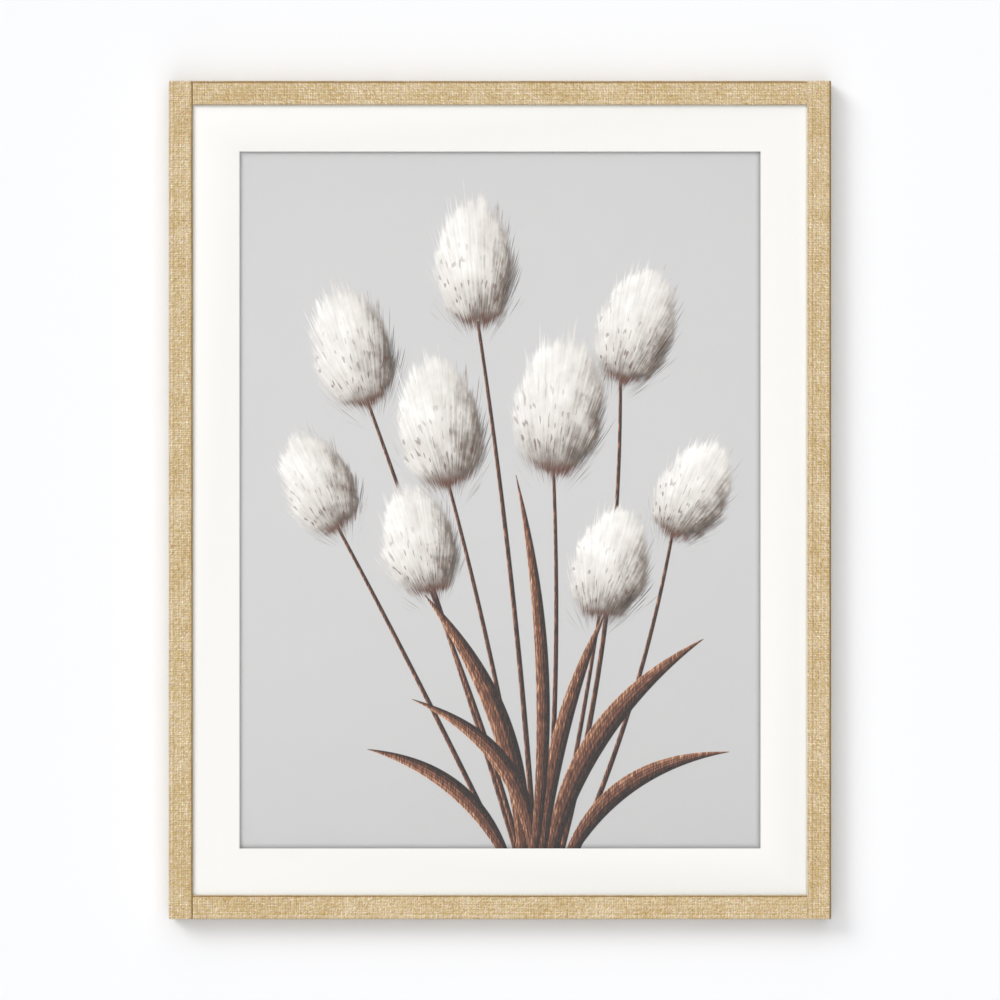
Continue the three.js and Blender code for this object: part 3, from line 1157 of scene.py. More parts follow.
    def _layer(
        self, w: Wiring, flat: Socket, heads: tuple[Head, ...], pick: Tree,
        look: Tree, first_seed: float,
    ) -> bpy.types.NodeOutputs:
        """Finds which head of a layer a place is on, and gives that head's look.

        Args:
            w: the material's wiring.
            flat: the place on the sheet, in millimetres.
            heads: the layer's heads, which don't overlap.
            pick: the group that finds a head's own place.
            look: the group that draws a head.
            first_seed: sets the layer's fluff apart from the other's.

        Returns:
            The outputs of the look's node.
        """
        chosen: object = self.nowhere
        for count, head in enumerate(heads):
            near = w.use(pick, Position=flat, Place=(head.x, head.z, 0.0),
                         Turn=(0.0, 0.0, math.radians(head.turn)),
                         Half_size=(head.width / 2, head.height / 2, 1.0)).outputs
            own = w.joined(near["Across"], near["Up"], first_seed + self.head_seed * count)
            chosen = w.choose(near["Near"], chosen, own)
        return w.use(look, Place=chosen).outputs

    def dress(self, w: Wiring, shader: bpy.types.NodeInputs, effects: Effects) -> None:
        """Prints the ground, the stems and leaves, and two layers of heads.

        Args:
            w: the material's wiring.
            shader: the Principled shader's inputs.
            effects: the shared groups.
        """
        place = self.position(w)
        x, _, z = w.parts(place)
        across = w.math("MULTIPLY_ADD", x, 1 / MM, -self.centre[0] / MM)
        up = w.math("MULTIPLY_ADD", z, 1 / MM, -self.centre[1] / MM)
        flat = w.joined(across, up)
        shade = w.total((across, w.math("MULTIPLY_ADD", up, self.shade_twist, self.shade_across)),
                        (up, w.math("MULTIPLY_ADD", up, self.shade_curve, self.shade_up)),
                        (w.noise(flat, self.cloud_scale, flat=True), self.cloud))
        picture = w.mix(w.spread(shade, 0.0, 1.0), self.ground_light, self.ground_deep)

        bark = w.noise(w.vector("MULTIPLY", flat, self.bark_run), 1.0, rough=0.6, flat=True)
        blade = self._blade_group()
        for piece in (*self.stems(), *self.leaves):
            look = self.leaf_look if piece.swell > 0 else self.stem_look
            own = w.use(blade, Position=flat, Place=(piece.x, piece.z, 0.0),
                        Turn=(0.0, 0.0, math.radians(piece.turn)), Length=piece.length,
                        Bend=piece.bend, Root=piece.root, Tip=piece.tip, Swell=piece.swell).outputs
            picture = w.mix(own["Cover"], picture, w.ramp(look.tone(w, own, bark), look.stops))

        pick, drawn = self._pick_group(), self.head_look.group()
        for heads, first_seed in zip((self.heads_behind, self.heads_before), self.layer_seeds):
            own = self._layer(w, flat, heads, pick, drawn, first_seed)
            seeded = w.times(own["Seeds"], self.seed_strength)
            fluff = w.mix(seeded, w.ramp(own["Light"], self.fluff), self.seed_colour)
            picture = w.mix(own["Cover"], picture, fluff)

        # Painted shade: a soft grey band is painted on the paper along the window's right side and foot.
        inside = w.math("MINIMUM", w.math("SUBTRACT", self.window_right, across),
                        w.math("SUBTRACT", up, self.window_foot))
        line = w.spread(inside, 0.0, self.painted_shade_reach, (self.painted_shade_depth, 0.0))
        picture = w.mix(line, picture, srgb(0, 0, 0))

        fibre = w.use(effects.fibre, Position=place, Scale=self.paper_scale).outputs
        flecks = w.spread(fibre["Height"], *self.paper_range, (0.0, self.paper_contrast))
        w.feed(shader["Base Color"], w.mix(flecks, picture, self.paper_fleck))
        w.feed(shader["Normal"], w.bump(fibre["Height"], self.relief, self.bump))


# ---- modelling helpers


def only(piece: Piece) -> Piece:
    """Makes a piece the only selected and the active one.

    Args:
        piece: the piece.

    Returns:
        The same piece.
    """
    bpy.ops.object.select_all(action="DESELECT")
    piece.select_set(True)
    bpy.context.view_layer.objects.active = piece
    return piece


def started(name: str, add: Callable[..., set], **sizes: object) -> Piece:
    """Adds a primitive and names it.

    Args:
        name: the piece's name.
        add: the operator that adds it.
        sizes: the operator's own settings.

    Returns:
        The new piece.
    """
    bpy.ops.object.select_all(action="DESELECT")
    add(**sizes)
    piece = bpy.context.view_layer.objects.active
    piece.name = name
    piece.data.name = name
    return piece


def settled(piece: Piece) -> Piece:
    """Puts a piece's place, turn and size into its mesh.

    Args:
        piece: the piece.

    Returns:
        The same piece.
    """
    only(piece)
    bpy.ops.object.transform_apply(location=True, rotation=True, scale=True)
    return piece


def modified(piece: Piece, kind: str, **settings: object) -> Piece:
    """Adds a modifier to a piece and applies it.

    Args:
        piece: the piece.
        kind: the modifier's type.
        settings: its properties.

    Returns:
        The same piece.
    """
    only(piece)
    modifier = piece.modifiers.new(kind.lower(), kind)
    for name, value in settings.items():
        setattr(modifier, name, value)
    bpy.ops.object.modifier_apply(modifier=modifier.name)
    return piece


def smoothed(piece: Piece, degrees: float = 40.0) -> Piece:
    """Shades a piece smooth wherever its faces meet at less than an angle.

    Args:
        piece: the piece.
        degrees: the angle.

    Returns:
        The same piece.
    """
    only(piece)
    bpy.ops.object.shade_smooth_by_angle(angle=math.radians(degrees))
    return piece


def picked(piece: Piece, test: Callable[[Vector, Vector], bool]) -> None:
    """Selects, for edit mode, the faces whose middle and normal pass a test.

    Args:
        piece: the piece, in object mode.
        test: takes a face's middle and its normal.
    """
    for part in (piece.data.vertices, piece.data.edges):
        for item in part:
            item.select = False
    for face in piece.data.polygons:
        face.select = test(face.center, face.normal)


def softened(
    node: str, width: float, merged: float = 0.002 * MM, flat: float = 1.0, sharp: float = 35.0
) -> Piece:
    """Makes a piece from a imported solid, with its sharp edges rounded.

    Args:
        node: the solid's name.
        width: how much of each edge the rounding takes.
        merged: how near two points are merged.
        flat: the angle in degrees up to which faces become one.
        sharp: the angle in degrees from which an edge is rounded.

    Returns:
        The piece, which stands for the node.
    """
    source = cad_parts[node]
    piece = bpy.data.objects.new(f"{node}_finished", source.data.copy())
    bpy.context.scene.collection.objects.link(piece)
    piece.data.materials.clear()
    only(piece)
    bpy.ops.mesh.customdata_custom_splitnormals_clear()
    bpy.ops.object.mode_set(mode="EDIT")
    bpy.ops.mesh.select_all(action="SELECT")
    bpy.ops.mesh.remove_doubles(threshold=merged)
    bpy.ops.mesh.dissolve_limited(angle_limit=math.radians(flat))
    bpy.ops.object.mode_set(mode="OBJECT")
    modified(piece, "BEVEL", width=width, segments=2, limit_method="ANGLE",
             angle_limit=math.radians(sharp), use_clamp_overlap=True)
    modified(piece, "TRIANGULATE")
    smoothed(piece)
    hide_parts(node)
    return piece


def finished(piece: Piece, material: bpy.types.Material) -> Piece:
    """Dresses a new piece and lets it ride on the picture.

    Args:
        piece: the piece.
        material: its material.

    Returns:
        The same piece.
    """
    piece.data.materials.clear()
    piece.data.materials.append(material)
    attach(piece, BODY)
    LOG.info("%s: %d faces, %s", piece.name, len(piece.data.polygons), material.name)
    return piece


def repainted(node: str, material: bpy.types.Material) -> None:
    """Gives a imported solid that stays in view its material.

    Args:
        node: the solid's name.
        material: the material.
    """
    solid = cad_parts[node]
    solid.data.materials.clear()
    solid.data.materials.append(material)
    LOG.info("%s: packed solid, %s", node, material.name)


# ---- linen cloth


@dataclass
class RoundedPath:
    """A path through corners that are rounded, in a plane, measured along its length.

    Args:
        corners: the path's corners.
        radius: the rounding at each inner corner.
    """

    corners: list[tuple[float, float]]
    radius: float

    def __post_init__(self) -> None:
        """Works out the straight and round stretches."""
        points = [np.array(corner, float) for corner in self.corners]
        self.stretches: list[tuple[float, Callable[[float], tuple[np.ndarray, np.ndarray]]]] = []
        start = points[0]
        for before, corner, after in zip(points, points[1:], points[2:]):
            into = (corner - before) / np.linalg.norm(corner - before)
            onward = (after - corner) / np.linalg.norm(after - corner)
            self._straight(start, corner - into * self.radius)
            self._round(corner, into, onward)
            start = corner + onward * self.radius
        self._straight(start, points[-1])
        self.length = sum(length for length, _ in self.stretches)

    def _straight(self, start: np.ndarray, end: np.ndarray) -> None:
        """Adds a straight stretch.

        Args:
            start: the place where it starts.
            end: the place where it ends.
        """
        length = float(np.linalg.norm(end - start))
        way = (end - start) / length
        self.stretches.append((length, lambda s: (start + way * s, way)))

    def _round(self, corner: np.ndarray, into: np.ndarray, onward: np.ndarray) -> None:
        """Adds a quarter turn that leaves the path before a corner and joins it after.

        Args:
            corner: the corner.
            into: the way into it.
            onward: the way on from it.
        """
        centre = corner - into * self.radius + onward * self.radius

        def place(s: float) -> tuple[np.ndarray, np.ndarray]:
            """The point and the way at a length s along the turn."""
            across, ahead = math.cos(s / self.radius), math.sin(s / self.radius)
            point = centre - onward * across * self.radius + into * ahead * self.radius
            return point, into * across + onward * ahead

        self.stretches.append((self.radius * math.pi / 2, place))

    def at(self, distance: float) -> tuple[np.ndarray, np.ndarray]:
        """A place on the path.

        Args:
            distance: how far along it is.

        Returns:
            The point, and the unit normal on the path's outer side.
        """
        left = min(max(distance, 0.0), self.length)
        for length, place in self.stretches:
            if left <= length + 1e-12:
                break
            left -= length
        point, way = place(min(left, length))
        return point, np.array([way[1], -way[0]])


@dataclass
class Cloth:
    """Coarse linen: its threads, their relief and their random slubs and drift.

    Args:
        pitch: the mean width of a thread.
        relief: how high its threads stand.
        sway: how far they lie beside their straight way.
        uneven: how much they differ in width.
        weaving: the height of a thread's flank where it lies on top, and where it lies below.
        mean_height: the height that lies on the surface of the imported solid.
        slub_reach: the shortest and longest reach of a slub, in half threads.
        slub_height: how much higher the thickest slub stands.
        warp_slubs: the share of lengthwise threads with slubs.
        weft_slubs: the share of crosswise threads with slubs.
    """

    UV = "threads"
    SLUB = "slub"
    MARK = "mark"

    pitch: float = 1.3 * MM
    thickness: float = 0.45 * MM
    relief: float = 0.20 * MM
    sway: float = 0.16 * MM
    uneven: float = 0.34
    weaving: tuple[float, float] = (0.22, 0.30)
    mean_height: float = 0.6
    slub_reach: tuple[float, float] = (4, 26)
    slub_strength: tuple[float, float] = (0.4, 1.0)
    slub_height: float = 0.55
    warp_slubs: float = 0.5
    weft_slubs: float = 0.22
    seed: int = 11
    random: np.random.Generator = field(init=False)

    def __post_init__(self) -> None:
        """Starts the cloth's own random draws."""
        self.random = np.random.default_rng(self.seed)

    def drift(self, threads: int, stations: int, period: int) -> np.ndarray:
        """Smooth random values along each of several threads.

        Args:
            threads: how many threads.
            stations: how many places along each.
            period: how many places lie between the random draws.

        Returns:
            Values from -1 to 1, one row for each thread.
        """
        knots = max(2, stations // period + 2)
        draws = self.random.uniform(-1, 1, (threads, knots))
        places = np.linspace(0, knots - 1.001, stations)
        low = places.astype(int)
        share = places - low
        share = share * share * (3 - 2 * share)
        return draws[:, low] * (1 - share) + draws[:, low + 1] * share

    def slubs(self, threads: int, stations: int, chance: float) -> np.ndarray:
        """Thick stretches that some of the threads have.

        Args:
            threads: how many threads.
            stations: how many places along each.
            chance: the share of threads with one.

        Returns:
            Their thickness from 0 to 1, one row for each thread.
        """
        made = np.zeros((threads, stations))
        places = np.arange(stations)
        for thread in np.flatnonzero(self.random.random(threads) < chance):
            for _ in range(self.random.integers(1, 3)):
                middle = self.random.uniform(0, stations)
                reach = self.random.uniform(*self.slub_reach)
                strength = self.random.uniform(*self.slub_strength)
                made[thread] += strength * np.exp(-(((places - middle) / reach) ** 2))
        return np.clip(made, 0, 1)

    def height(self, across: np.ndarray, along: np.ndarray) -> np.ndarray:
        """The weave's relief at places counted in threads.

        Args:
            across: the places across the lengthwise threads.
            along: the places along them.

        Returns:
            The relief, from 0 to 1.
        """
        own, other = np.abs(np.sin(np.pi * across)), np.abs(np.sin(np.pi * along))
        over = (np.floor(across + 1e-6) + np.floor(along + 1e-6)) % 2 > 0.5
        return own * other + np.where(over, *self.weaving) * np.abs(own - other)

    def halves(self, threads: int) -> np.ndarray:
        """Places of the edges and middles of threads that differ in width.

        Args:
            threads: how many threads.

        Returns:
            The places, two for each thread and one more, counted in threads.
        """
        widths = 1 + self.random.uniform(-self.uneven, self.uneven, threads)
        edges = np.concatenate([[0.0], np.cumsum(widths)]) * threads / widths.sum()
        places = np.empty(2 * threads + 1)
        places[::2] = edges
        places[1::2] = (edges[:-1] + edges[1:]) / 2
        return places


def unit_places(sheet: Piece) -> np.ndarray:
    """Where the vertices of a new square grid lie.

    Args:
        sheet: the grid.

    Returns:
        Their places, from 0 to 1 along its two sides.
    """
    places = np.empty(len(sheet.data.vertices) * 3)
    sheet.data.vertices.foreach_get("co", places)
    return places.reshape(-1, 3)[:, :2] + 0.5


def set_attribute(piece: Piece, name: str, values: np.ndarray) -> None:
    """Gives a piece's vertices a value each, under a name that its material reads."""
    layer = piece.data.attributes.new(name, "FLOAT", "POINT")
    layer.data.foreach_set("value", values.astype(np.float32).ravel())


def laid(sheet: Piece, places: np.ndarray, threads: np.ndarray) -> None:
    """Moves the vertices of a grid and writes its UV map, which counts the threads.

    Args:
        sheet: the grid.
        places: each vertex's new place.
        threads: each vertex's place on the cloth, counted in threads.
    """
    sheet.data.vertices.foreach_set("co", places.astype(np.float32).ravel())
    corners = np.empty(len(sheet.data.loops), np.int32)
    sheet.data.loops.foreach_get("vertex_index", corners)
    layer = sheet.data.uv_layers[0]
    layer.name = Cloth.UV
    layer.data.foreach_set("uv", threads[corners].astype(np.float32).ravel())


@dataclass(frozen=True)
class Streak:
    """A lengthwise thread that is darker, or lighter if its shade is below 0."""

    place: float
    reach: float
    shade: float
    level_shade: float | None = None
    single: bool = False

    def strength(self, upright: bool) -> float:
        """Its shade on a stile, or on a rail if that is another one."""
        return self.shade if upright or self.level_shade is None else self.level_shade


@dataclass
class Wrap:
    """The linen round one timber: a strip of cloth folded over its front, side and back.

    Args:
        member: the side of the moulding.
        cloth: the linen.
        lip: how deep the cloth goes behind the sight edge.
        turn_over: how far it goes over the back.
        arris: the rounding where it folds.
        band_shade: how dark the darkened arris is.
        lip_light: how pale the cloth of the lip is made, so that it throws more light onto the mat beside
            it.
        streaks: the threads that stand out along the face.
        front: how deep a place may lie and still count as on the face.
        upright_band: where the dark arris of a stile starts, is full, fades and ends, in mm.
        level_band: the same for a rail.
        end_roll: how far the cloth sinks at its two ends, from end_reach on.
        long_wave: the period of the cloth's waves in half threads, and their share of its relief.
        own_wave: the same for the waves of single threads.
        beads: the mean strength of a faint mark, and how far its beads differ from it.
        solid_mark: how strong a mark has to be to have no beads.
        sinking: how deep a marked thread sinks, and up to how strong a mark that grows.
        edge_lean: how much of the threads' sway the cloth's first and last station have.
        fray: how far the cut edge frays.
    """

    member: Member
    cloth: Cloth
    lip: float = 1.75 * MM
    turn_over: float = 12.25 * MM
    arris: float = 0.6 * MM
    band_shade: float = 0.82
    lip_light: float = 0.75
    streaks: tuple[Streak, ...] = (
        Streak(2.6 * MM, 0.5 * MM, 0.08),
        Streak(5.3 * MM, 1.4 * MM, -0.10),
        Streak(8.9 * MM, 0.9 * MM, 0.10),
        Streak(10.3 * MM, 0.42 * MM, -0.24),
        Streak(12.4 * MM, 1.3 * MM, 0.08),
        Streak(16.25 * MM, 0.28 * MM, 0.62, 0.30, single=True),
        Streak(18.05 * MM, 0.50 * MM, -0.34),
        Streak(20.1 * MM, 0.5 * MM, 0.14),
    )
    front: float = 0.6 * MM
    upright_band: tuple[float, ...] = (-1.0, 0.0, 1.35, 2.0)
    level_band: tuple[float, ...] = (0.0, 0.7, 1.55, 2.05)
    end_roll: float = 0.3 * MM
    end_reach: float = 0.6 * MM
    long_wave: tuple[int, float] = (46, 0.2)
    own_wave: tuple[int, float] = (90, 0.12)
    bead_period: int = 5
    beads: tuple[float, float] = (0.8, 0.5)
    solid_mark: float = 0.45
    sinking: tuple[float, float] = (0.12 * MM, 0.5)
    lean_period: int = 30
    edge_lean: float = 0.3
    shift_period: int = 12
    fray_period: int = 7
    fray: float = 0.35 * MM
    seam: float = 0.001 * MM
    at_end: float = 0.01 * MM

    def __post_init__(self) -> None:
        """Reads the wrap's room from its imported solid."""
        self.node = f"wrap_{self.member.value}"
        self.low, self.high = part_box(self.node)
        size = self.high - self.low
        self.width = size.x if self.member.upright else size.z
        self.depth = size.y
        self.length = size.z if self.member.upright else size.x
        self.path = RoundedPath(
            [(0.0, self.lip), (0.0, 0.0), (self.width, 0.0), (self.width, self.depth),
             (self.width - self.turn_over, self.depth)],
            self.arris,
        )

    def placed(self, across: np.ndarray, deep: np.ndarray, along: np.ndarray) -> np.ndarray:
        """Points in the picture's frame.

        Args:
            across: how far each is from the sight edge.
            deep: how far behind the front.
            along: how far from the member's lower or left end.

        Returns:
            The points, one row each.
        """
        outward = self.member.outward
        if self.member.upright:
            edge = self.low.x if outward > 0 else self.high.x
            return np.stack([edge + outward * across, self.low.y + deep, self.low.z + along], -1)
        edge = self.low.z if outward > 0 else self.high.z
        return np.stack([self.low.x + along, self.low.y + deep, edge + outward * across], -1)

    def _stations(self) -> tuple[np.ndarray, np.ndarray]:
        """Where the section's points lie: half threads on the face, and whole ones behind.

        Returns:
            Their distances along the folded section, and the same counted in threads.
        """
        pitch = self.cloth.pitch
        facing = math.ceil((self.lip + self.width) / pitch)
        behind = round((self.path.length - facing * pitch) / pitch)
        fine = self.cloth.halves(facing) * pitch
        coarse = np.linspace(facing * pitch, self.path.length, behind + 1)[1:]
        counted = np.concatenate([np.arange(2 * facing + 1) / 2, facing + np.arange(1, behind + 1)])
        return np.concatenate([fine, coarse]), counted

    def _marks(self, across: np.ndarray, deep: np.ndarray) -> np.ndarray:
        """The dark arris and the streaks of the face.

        Args:
            across: how far each station is from the sight edge.
            deep: how far it is behind the front.

        Returns:
            Above 0 where the cloth is darkened, and below 0 where it is lightened.
        """
        from_dark = across if self.member in (Member.LEFT, Member.BOTTOM) else self.width - across
        shown = deep < self.front
        steps = self.upright_band if self.member.upright else self.level_band
        band = np.interp(from_dark, np.array(steps) * MM, (0.0, 1.0, 1.0, 0.0)) * shown
        marks = self.band_shade * band
        for streak in self.streaks:
            nearest = np.argmin(np.where(shown, np.abs(from_dark - streak.place), np.inf))
            place = from_dark[nearest] if streak.single else streak.place
            line = np.exp(-(((from_dark - place) / streak.reach) ** 2)) * shown
            marks = marks + streak.strength(self.member.upright) * line
        lip = (across < 0.5 * self.width) & (deep > self.front)
        return np.where(lip, -self.lip_light, marks)

    def build(self) -> Piece:
        """Weaves the strip, folds it and closes it.

        Returns:
            The wrap.
        """
        cloth = self.cloth
        stations, across_threads = self._stations()
        section = [self.path.at(distance) for distance in stations]
        points = np.array([point for point, _ in section])
        normals = np.array([normal for _, normal in section])
        t = cloth.thickness
        outer, back = self.width - t, self.depth - t
        lining = np.array([(self.width - self.turn_over, back), (outer, back), (outer, t), (t, t),
                           (t, self.lip)])
        woven = len(stations)
        columns = woven + len(lining)
        picks = round(self.length / cloth.pitch)
        rows = 2 * picks
        strip = started(
            f"{self.node}_cloth", bpy.ops.mesh.primitive_grid_add,
            x_subdivisions=columns, y_subdivisions=rows, size=1.0, calc_uvs=True,
        )
        column, row = np.rint(unit_places(strip) * (columns, rows)).astype(int).T

        along_threads = np.arange(rows + 1) / 2
        lengthwise = cloth.halves(picks) * self.length / picks
        warps, wefts = int(across_threads.max()) + 2, picks + 2
        warp_of, weft_of = np.floor(across_threads).astype(int), np.floor(along_threads).astype(int)
        slubs = np.maximum(cloth.slubs(warps, rows + 1, cloth.warp_slubs)[warp_of],
                           cloth.slubs(wefts, woven, cloth.weft_slubs)[weft_of].T)
        relief = cloth.height(across_threads[:, None], along_threads[None, :])
        relief = relief * (1 + cloth.slub_height * slubs) - cloth.mean_height
        (long_period, long_share), (own_period, own_share) = self.long_wave, self.own_wave
        waves = (cloth.drift(1, rows + 1, long_period)[0][None, :] * long_share
                 + cloth.drift(warps, rows + 1, own_period)[warp_of] * own_share)
        marks = self._marks(points[:, 0], points[:, 1])[:, None]
        beads = self.beads[0] + self.beads[1] * cloth.drift(1, rows + 1, self.bead_period)[0]
        marks = marks * np.where(np.abs(marks) > self.solid_mark, 1.0, beads[None, :])
        sink, sunk = self.sinking
        rise = cloth.relief * (relief + waves) - sink * np.clip(marks, 0, sunk)
        ends = np.minimum(lengthwise, self.length - lengthwise)
        fading = 1 - np.exp(-ends / self.end_reach)[None, :]
        rise = rise * fading - self.end_roll * (1 - fading)
        lean = cloth.drift(warps, rows + 1, self.lean_period)[warp_of] * cloth.sway * fading
        lean[[0, -1]] *= self.edge_lean
        shift = cloth.drift(wefts, woven, self.shift_period)[weft_of].T * cloth.sway
        shift[:, [0, -1]] = 0.0

        tangents = np.stack([-normals[:, 1], normals[:, 0]], -1)
        folded = (points[:, None, :] + normals[:, None, :] * rise[:, :, None]
                  + tangents[:, None, :] * lean[:, :, None])
        fray = cloth.drift(1, rows + 1, self.fray_period)[0] * self.fray * fading[0]
        folded[-1, :, 0] += fray
        flat = np.broadcast_to(lining[:, None, :], (len(lining), rows + 1, 2)).copy()
        flat[0, :, 0] += fray
        ring = np.concatenate([folded, flat, folded[:1]])
        reach = np.broadcast_to(lengthwise, (columns + 1, rows + 1)).copy()
        reach[:woven] += shift
        reach[-1] = reach[0]
        where = self.placed(ring[column, row, 0], ring[column, row, 1], reach[column, row])
        counted = np.concatenate([across_threads, np.zeros(len(lining) + 1)])
        laid(strip, where, np.stack([counted[column], along_threads[row]], -1))

        padding = np.zeros((len(lining), rows + 1))
        set_attribute(strip, Cloth.SLUB, np.concatenate([slubs, padding, slubs[:1]])[column, row])
        set_attribute(strip, Cloth.MARK, np.concatenate([marks, padding, marks[:1]])[column, row])
        self._close(strip)
        return strip

    def _close(self, strip: Piece) -> None:
        """Joins the strip's long seam, fills its two ends and turns its faces out.

        Args:
            strip: the folded strip.
        """
        axis = 2 if self.member.upright else 0
        only(strip)
        bpy.ops.object.mode_set(mode="EDIT")
        bpy.ops.mesh.select_mode(type="VERT")
        bpy.ops.mesh.select_all(action="SELECT")
        bpy.ops.mesh.remove_doubles(threshold=self.seam)
        for limit in (self.low[axis], self.high[axis]):
            bpy.ops.mesh.select_all(action="DESELECT")
            bpy.ops.object.mode_set(mode="OBJECT")
            for vertex in strip.data.vertices:
                vertex.select = abs(vertex.co[axis] - limit) < self.at_end
            bpy.ops.object.mode_set(mode="EDIT")
            bpy.ops.mesh.edge_face_add()
            bpy.ops.mesh.quads_convert_to_tris(ngon_method="CLIP")
        bpy.ops.mesh.select_all(action="SELECT")
        bpy.ops.mesh.normals_make_consistent(inside=False)
        bpy.ops.object.mode_set(mode="OBJECT")
        smoothed(strip, 60.0)


@dataclass
class EndPatch:
    """The folded linen on the end of a stile, with the creases of its two tucks.

    Args:
        wrap: the stile's wrap.
        top: True for the upper end.
        inset: how far its edges lie inside the wrap's.
        crease: how deep its creases are, and crease_reach how far beside them it sinks.
        sinking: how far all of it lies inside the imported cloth's end.
        rim_drop: how much further its rim sinks, from rim_reach on.
    """

    wrap: Wrap
    top: bool
    inset: float = 0.45 * MM
    thickness: float = 0.3 * MM
    crease: float = 0.30 * MM
    crease_reach: float = 0.55 * MM
    crease_painted_shade: float = 0.5
    sinking: float = 0.12 * MM
    rim_drop: float = 0.25 * MM
    rim_reach: float = 0.4 * MM

    def build(self) -> Piece:
        """Weaves the patch and lays it on the stile's end.

        Returns:
            The patch.
        """
        wrap, cloth = self.wrap, self.wrap.cloth
        width, depth = wrap.width - 2 * self.inset, wrap.depth - 2 * self.inset
        half = cloth.pitch / 2
        columns, rows = round(width / half), round(depth / half)
        name = f"{wrap.node}_{'top' if self.top else 'bottom'}_end"
        patch = started(name, bpy.ops.mesh.primitive_grid_add, x_subdivisions=columns,
                        y_subdivisions=rows, size=1.0, calc_uvs=True)
        across, deep = (unit_places(patch) * (width, depth)).T
        relief = cloth.height(across / cloth.pitch, deep / cloth.pitch) - cloth.mean_height
        fold = np.minimum(np.abs(across - deep), np.abs(across + deep - width))
        tucked = np.minimum(across, width - across) < depth / 2
        crease = np.exp(-((fold / self.crease_reach) ** 2)) * tucked
        rim = np.minimum.reduce([across, width - across, deep, depth - deep])
        rise = cloth.relief * relief - self.crease * crease
        rise -= self.rim_drop * np.exp(-rim / self.rim_reach) + self.sinking
        along = wrap.length + rise if self.top else -rise
        where = wrap.placed(across + self.inset, deep + self.inset, along)
        laid(patch, where, np.stack([across, deep], -1) / cloth.pitch)
        set_attribute(patch, Cloth.SLUB, np.zeros(len(across)))
        # Painted shade: the creases are also coloured darker through the cloth's mark.
        set_attribute(patch, Cloth.MARK, self.crease_painted_shade * crease)
        upward = patch.data.polygons[0].normal.z > 0
        if upward != self.top:
            only(patch)
            bpy.ops.object.mode_set(mode="EDIT")
            bpy.ops.mesh.select_all(action="SELECT")
            bpy.ops.mesh.flip_normals()
            bpy.ops.object.mode_set(mode="OBJECT")
        modified(patch, "SOLIDIFY", thickness=self.thickness, offset=-1.0)
        return smoothed(patch, 60.0)


# ---- sub-assemblies


@dataclass
class Moulding:
    """The four timbers, their dowels and the linen that covers them."""

    effects: Effects
    linen: LinenFinish = LinenFinish("coarse linen", roughness=0.88)
    upright: WoodFinish = WoodFinish("sawn pine, upright", roughness=0.78, grain=Grain.UPRIGHT)
    level: WoodFinish = WoodFinish("sawn pine, level", roughness=0.78, grain=Grain.LEVEL)
    dowel: WoodFinish = WoodFinish(
        "turned beech", roughness=0.7, grain=Grain.LEVEL,
        early=srgb(214, 174, 128), late=srgb(196, 150, 104), fleck=srgb(150, 104, 66),
    )

    def build(self) -> None:
        """Covers each timber and dresses the wood."""
        cloth_material = self.linen.material(self.effects)
        woods = {True: self.upright.material(self.effects), False: self.level.material(self.effects)}
        for count, member in enumerate(Member):
            wrap = Wrap(member, Cloth(seed=11 + count))
            strip = finished(wrap.build(), cloth_material)
            patches = []
            if member.upright:
                patches = [finished(EndPatch(wrap, top).build(), cloth_material)
                           for top in (True, False)]
            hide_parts(wrap.node)
            timber = f"{'stile' if member.upright else 'rail'}_{member.value}"
            repainted(timber, woods[member.upright])
        beech = self.dowel.material(self.effects)
        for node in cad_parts:
            if node.startswith("dowel_"):
                repainted(node, beech)


@dataclass
class Stack:
    """What the moulding holds: the glazing, the mat, the print and the boards behind them."""

    effects: Effects
    glazing: GlassFinish = GlassFinish("clear glazing")
    mat: BoardFinish = BoardFinish(
        "white mat board", roughness=0.92, colour=(0.862, 0.852, 0.823), fleck=(0.81, 0.80, 0.77),
        scale=1400.0, contrast=0.10, cloudiness=0.03, relief=0.02 * MM,
    )
    core: BoardFinish = BoardFinish(
        "grey mat core", roughness=0.95, colour=(0.30, 0.30, 0.29), fleck=(0.22, 0.22, 0.21),
        scale=1400.0, contrast=0.3, cloudiness=0.05, relief=0.02 * MM,
    )
    foam: BoardFinish = BoardFinish(
        "foam mount board", roughness=0.9, colour=(0.82, 0.81, 0.78), fleck=(0.70, 0.69, 0.66),
        scale=1200.0, contrast=0.2, cloudiness=0.05,
    )
    hardboard: BoardFinish = BoardFinish(
        "pressed hardboard", roughness=0.84, colour=srgb(168, 128, 84), fleck=srgb(104, 72, 42),
        scale=620.0, contrast=0.55, cloudiness=0.28, relief=0.12 * MM,
    )
    edge: float = 0.14 * MM
    board_edge: float = 0.35 * MM
    bevel_slant: float = 0.5

    def build(self) -> None:
        """Dresses the stack from front to back."""
        repainted("glazing", self.glazing.material(self.effects))
        mat = finished(softened("mat_board", self.edge), self.mat.material(self.effects))
        mat.data.materials.append(self.core.material(self.effects))
        # The hidden undercut bevel takes the grey of the board's core, which is put there as painted shade:
        # it throws less light onto the print beside the window.
        for face in mat.data.polygons:
            face.material_index = int(self.bevel_slant < face.normal.y < FACING)
        low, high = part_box("print_sheet")
        middle = (low + high) / 2
        design = DesignFinish("printed art paper", centre=(middle.x, middle.z))
        repainted("print_sheet", design.material(self.effects))
        repainted("mount_board", self.foam.material(self.effects))
        finished(softened("backing_board", self.board_edge), self.hardboard.material(self.effects))


